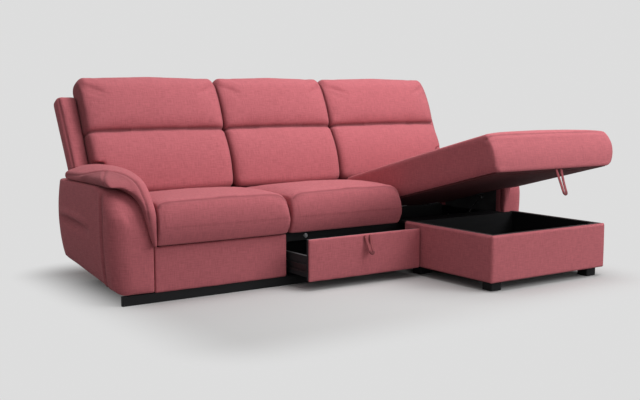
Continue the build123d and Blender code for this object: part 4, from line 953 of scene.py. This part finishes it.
for node in LOOPS:
    soft[node] = pull_loop(node)
for node, piece in soft.items():
    for polygon in piece.data.polygons:
        polygon.use_smooth = True


# Stage, light and camera
PALE = 0.725              # background, and the floor far from the sofa
STAGE_HALF = 40.0         # half the width of the floor
FADE_INSIDE = 0.25        # the floor starts to fade this far inside the sofa's ends
FADE_REACH = 0.45         # and has faded this far from there
CAMERA_DIP, CAMERA_TURN = 6.47, -34.36  # degrees below level and about the vertical
# Middle and half the size of the sofa's box
footprint = [(a + b) / 2 for a, b in zip(*cad_box)], [(b - a) / 2 for a, b in zip(*cad_box)]


def stage_finish():
    """Pale floor that fades into the background away from the sofa, keeps its shadow and reflects little."""
    r = Recipe(bpy.data.materials.new("stage_paint"))
    place, _ = r.here()
    x, y, _ = r.parts(place)
    beside = (abs(x - footprint[0][0]) - footprint[1][0] + FADE_INSIDE).most(0.0)
    before = (abs(y - footprint[0][1]) - footprint[1][1]).most(0.0)
    far = (beside * beside + before * before) ** 0.5
    fade = r.spread(far, 0.0, FADE_REACH, 0.0, 1.0)
    matt = r.add("BsdfDiffuse", {}, {"Color": (0.50, 0.50, 0.50)})
    glow = r.add("Emission", {}, {"Color": (PALE, PALE, PALE), "Strength": 1.0})
    dull = r.add("BsdfDiffuse", {}, {"Color": (0.20, 0.20, 0.20)})
    seen = r.add("MixShader", {}, {0: fade, 1: matt, 2: glow})
    chosen = r.add("MixShader", {}, {0: r.light_path(), 1: dull, 2: seen})
    r.add("OutputMaterial", {}, {"Surface": chosen})
    return r.owner


floor_mesh = bpy.data.meshes.new("stage_floor")
floor_corners = [(a * STAGE_HALF, b * STAGE_HALF, 0.0) for a, b in ((-1, -1), (1, -1), (1, 1), (-1, 1))]
floor_mesh.from_pydata(floor_corners, [], [(0, 1, 2, 3)])
floor = bpy.data.objects.new("stage_floor", floor_mesh)
bpy.context.scene.collection.objects.link(floor)
floor_mesh.materials.append(stage_finish())

studio = Recipe(bpy.data.worlds.new("studio"))
bpy.context.scene.world = studio.owner
fill = studio.add("Background", {}, {"Color": (1.0, 0.99, 0.98), "Strength": 0.43})
backdrop = studio.add("Background", {}, {"Color": (PALE, PALE, PALE), "Strength": 1.0})
room_light = studio.add("MixShader", {}, {0: studio.light_path(), 1: fill, 2: backdrop})
studio.add("OutputWorld", {}, {"Surface": room_light})


def soft_box(name, place, target, size, power):
    """One large rectangular studio lamp."""
    lamp = bpy.data.lights.new(name, "AREA")
    lamp.shape = "RECTANGLE"
    lamp.size, lamp.size_y = size
    lamp.energy = power
    holder = bpy.data.objects.new(name, lamp)
    holder.location = place
    holder.rotation_euler = (Vector(target) - Vector(place)).to_track_quat("-Z", "Y").to_euler()
    bpy.context.scene.collection.objects.link(holder)


soft_box("key_lamp", (3.0, -4.2, 3.0), (0.2, -0.2, 0.5), (2.4, 2.0), 108.0)
soft_box("top_lamp", (1.0, -0.7, 4.2), (0.6, -0.1, 0.4), (3.0, 3.6), 160.0)
soft_box("front_lamp", (0.3, -6.0, 1.1), (0.3, 0.0, 0.4), (4.0, 1.6), 45.0)

camera_data = bpy.data.cameras.new("photo_camera")
camera_data.sensor_width = 36.0
camera_data.lens = 54.55
camera = bpy.data.objects.new("photo_camera", camera_data)
camera.location = (-2.9970, -4.1783, 0.9939)
camera.rotation_euler = (math.radians(90.0 - CAMERA_DIP), 0.0, math.radians(CAMERA_TURN))
bpy.context.scene.collection.objects.link(camera)
bpy.context.scene.camera = camera
bpy.context.scene.view_settings.view_transform = "Standard"
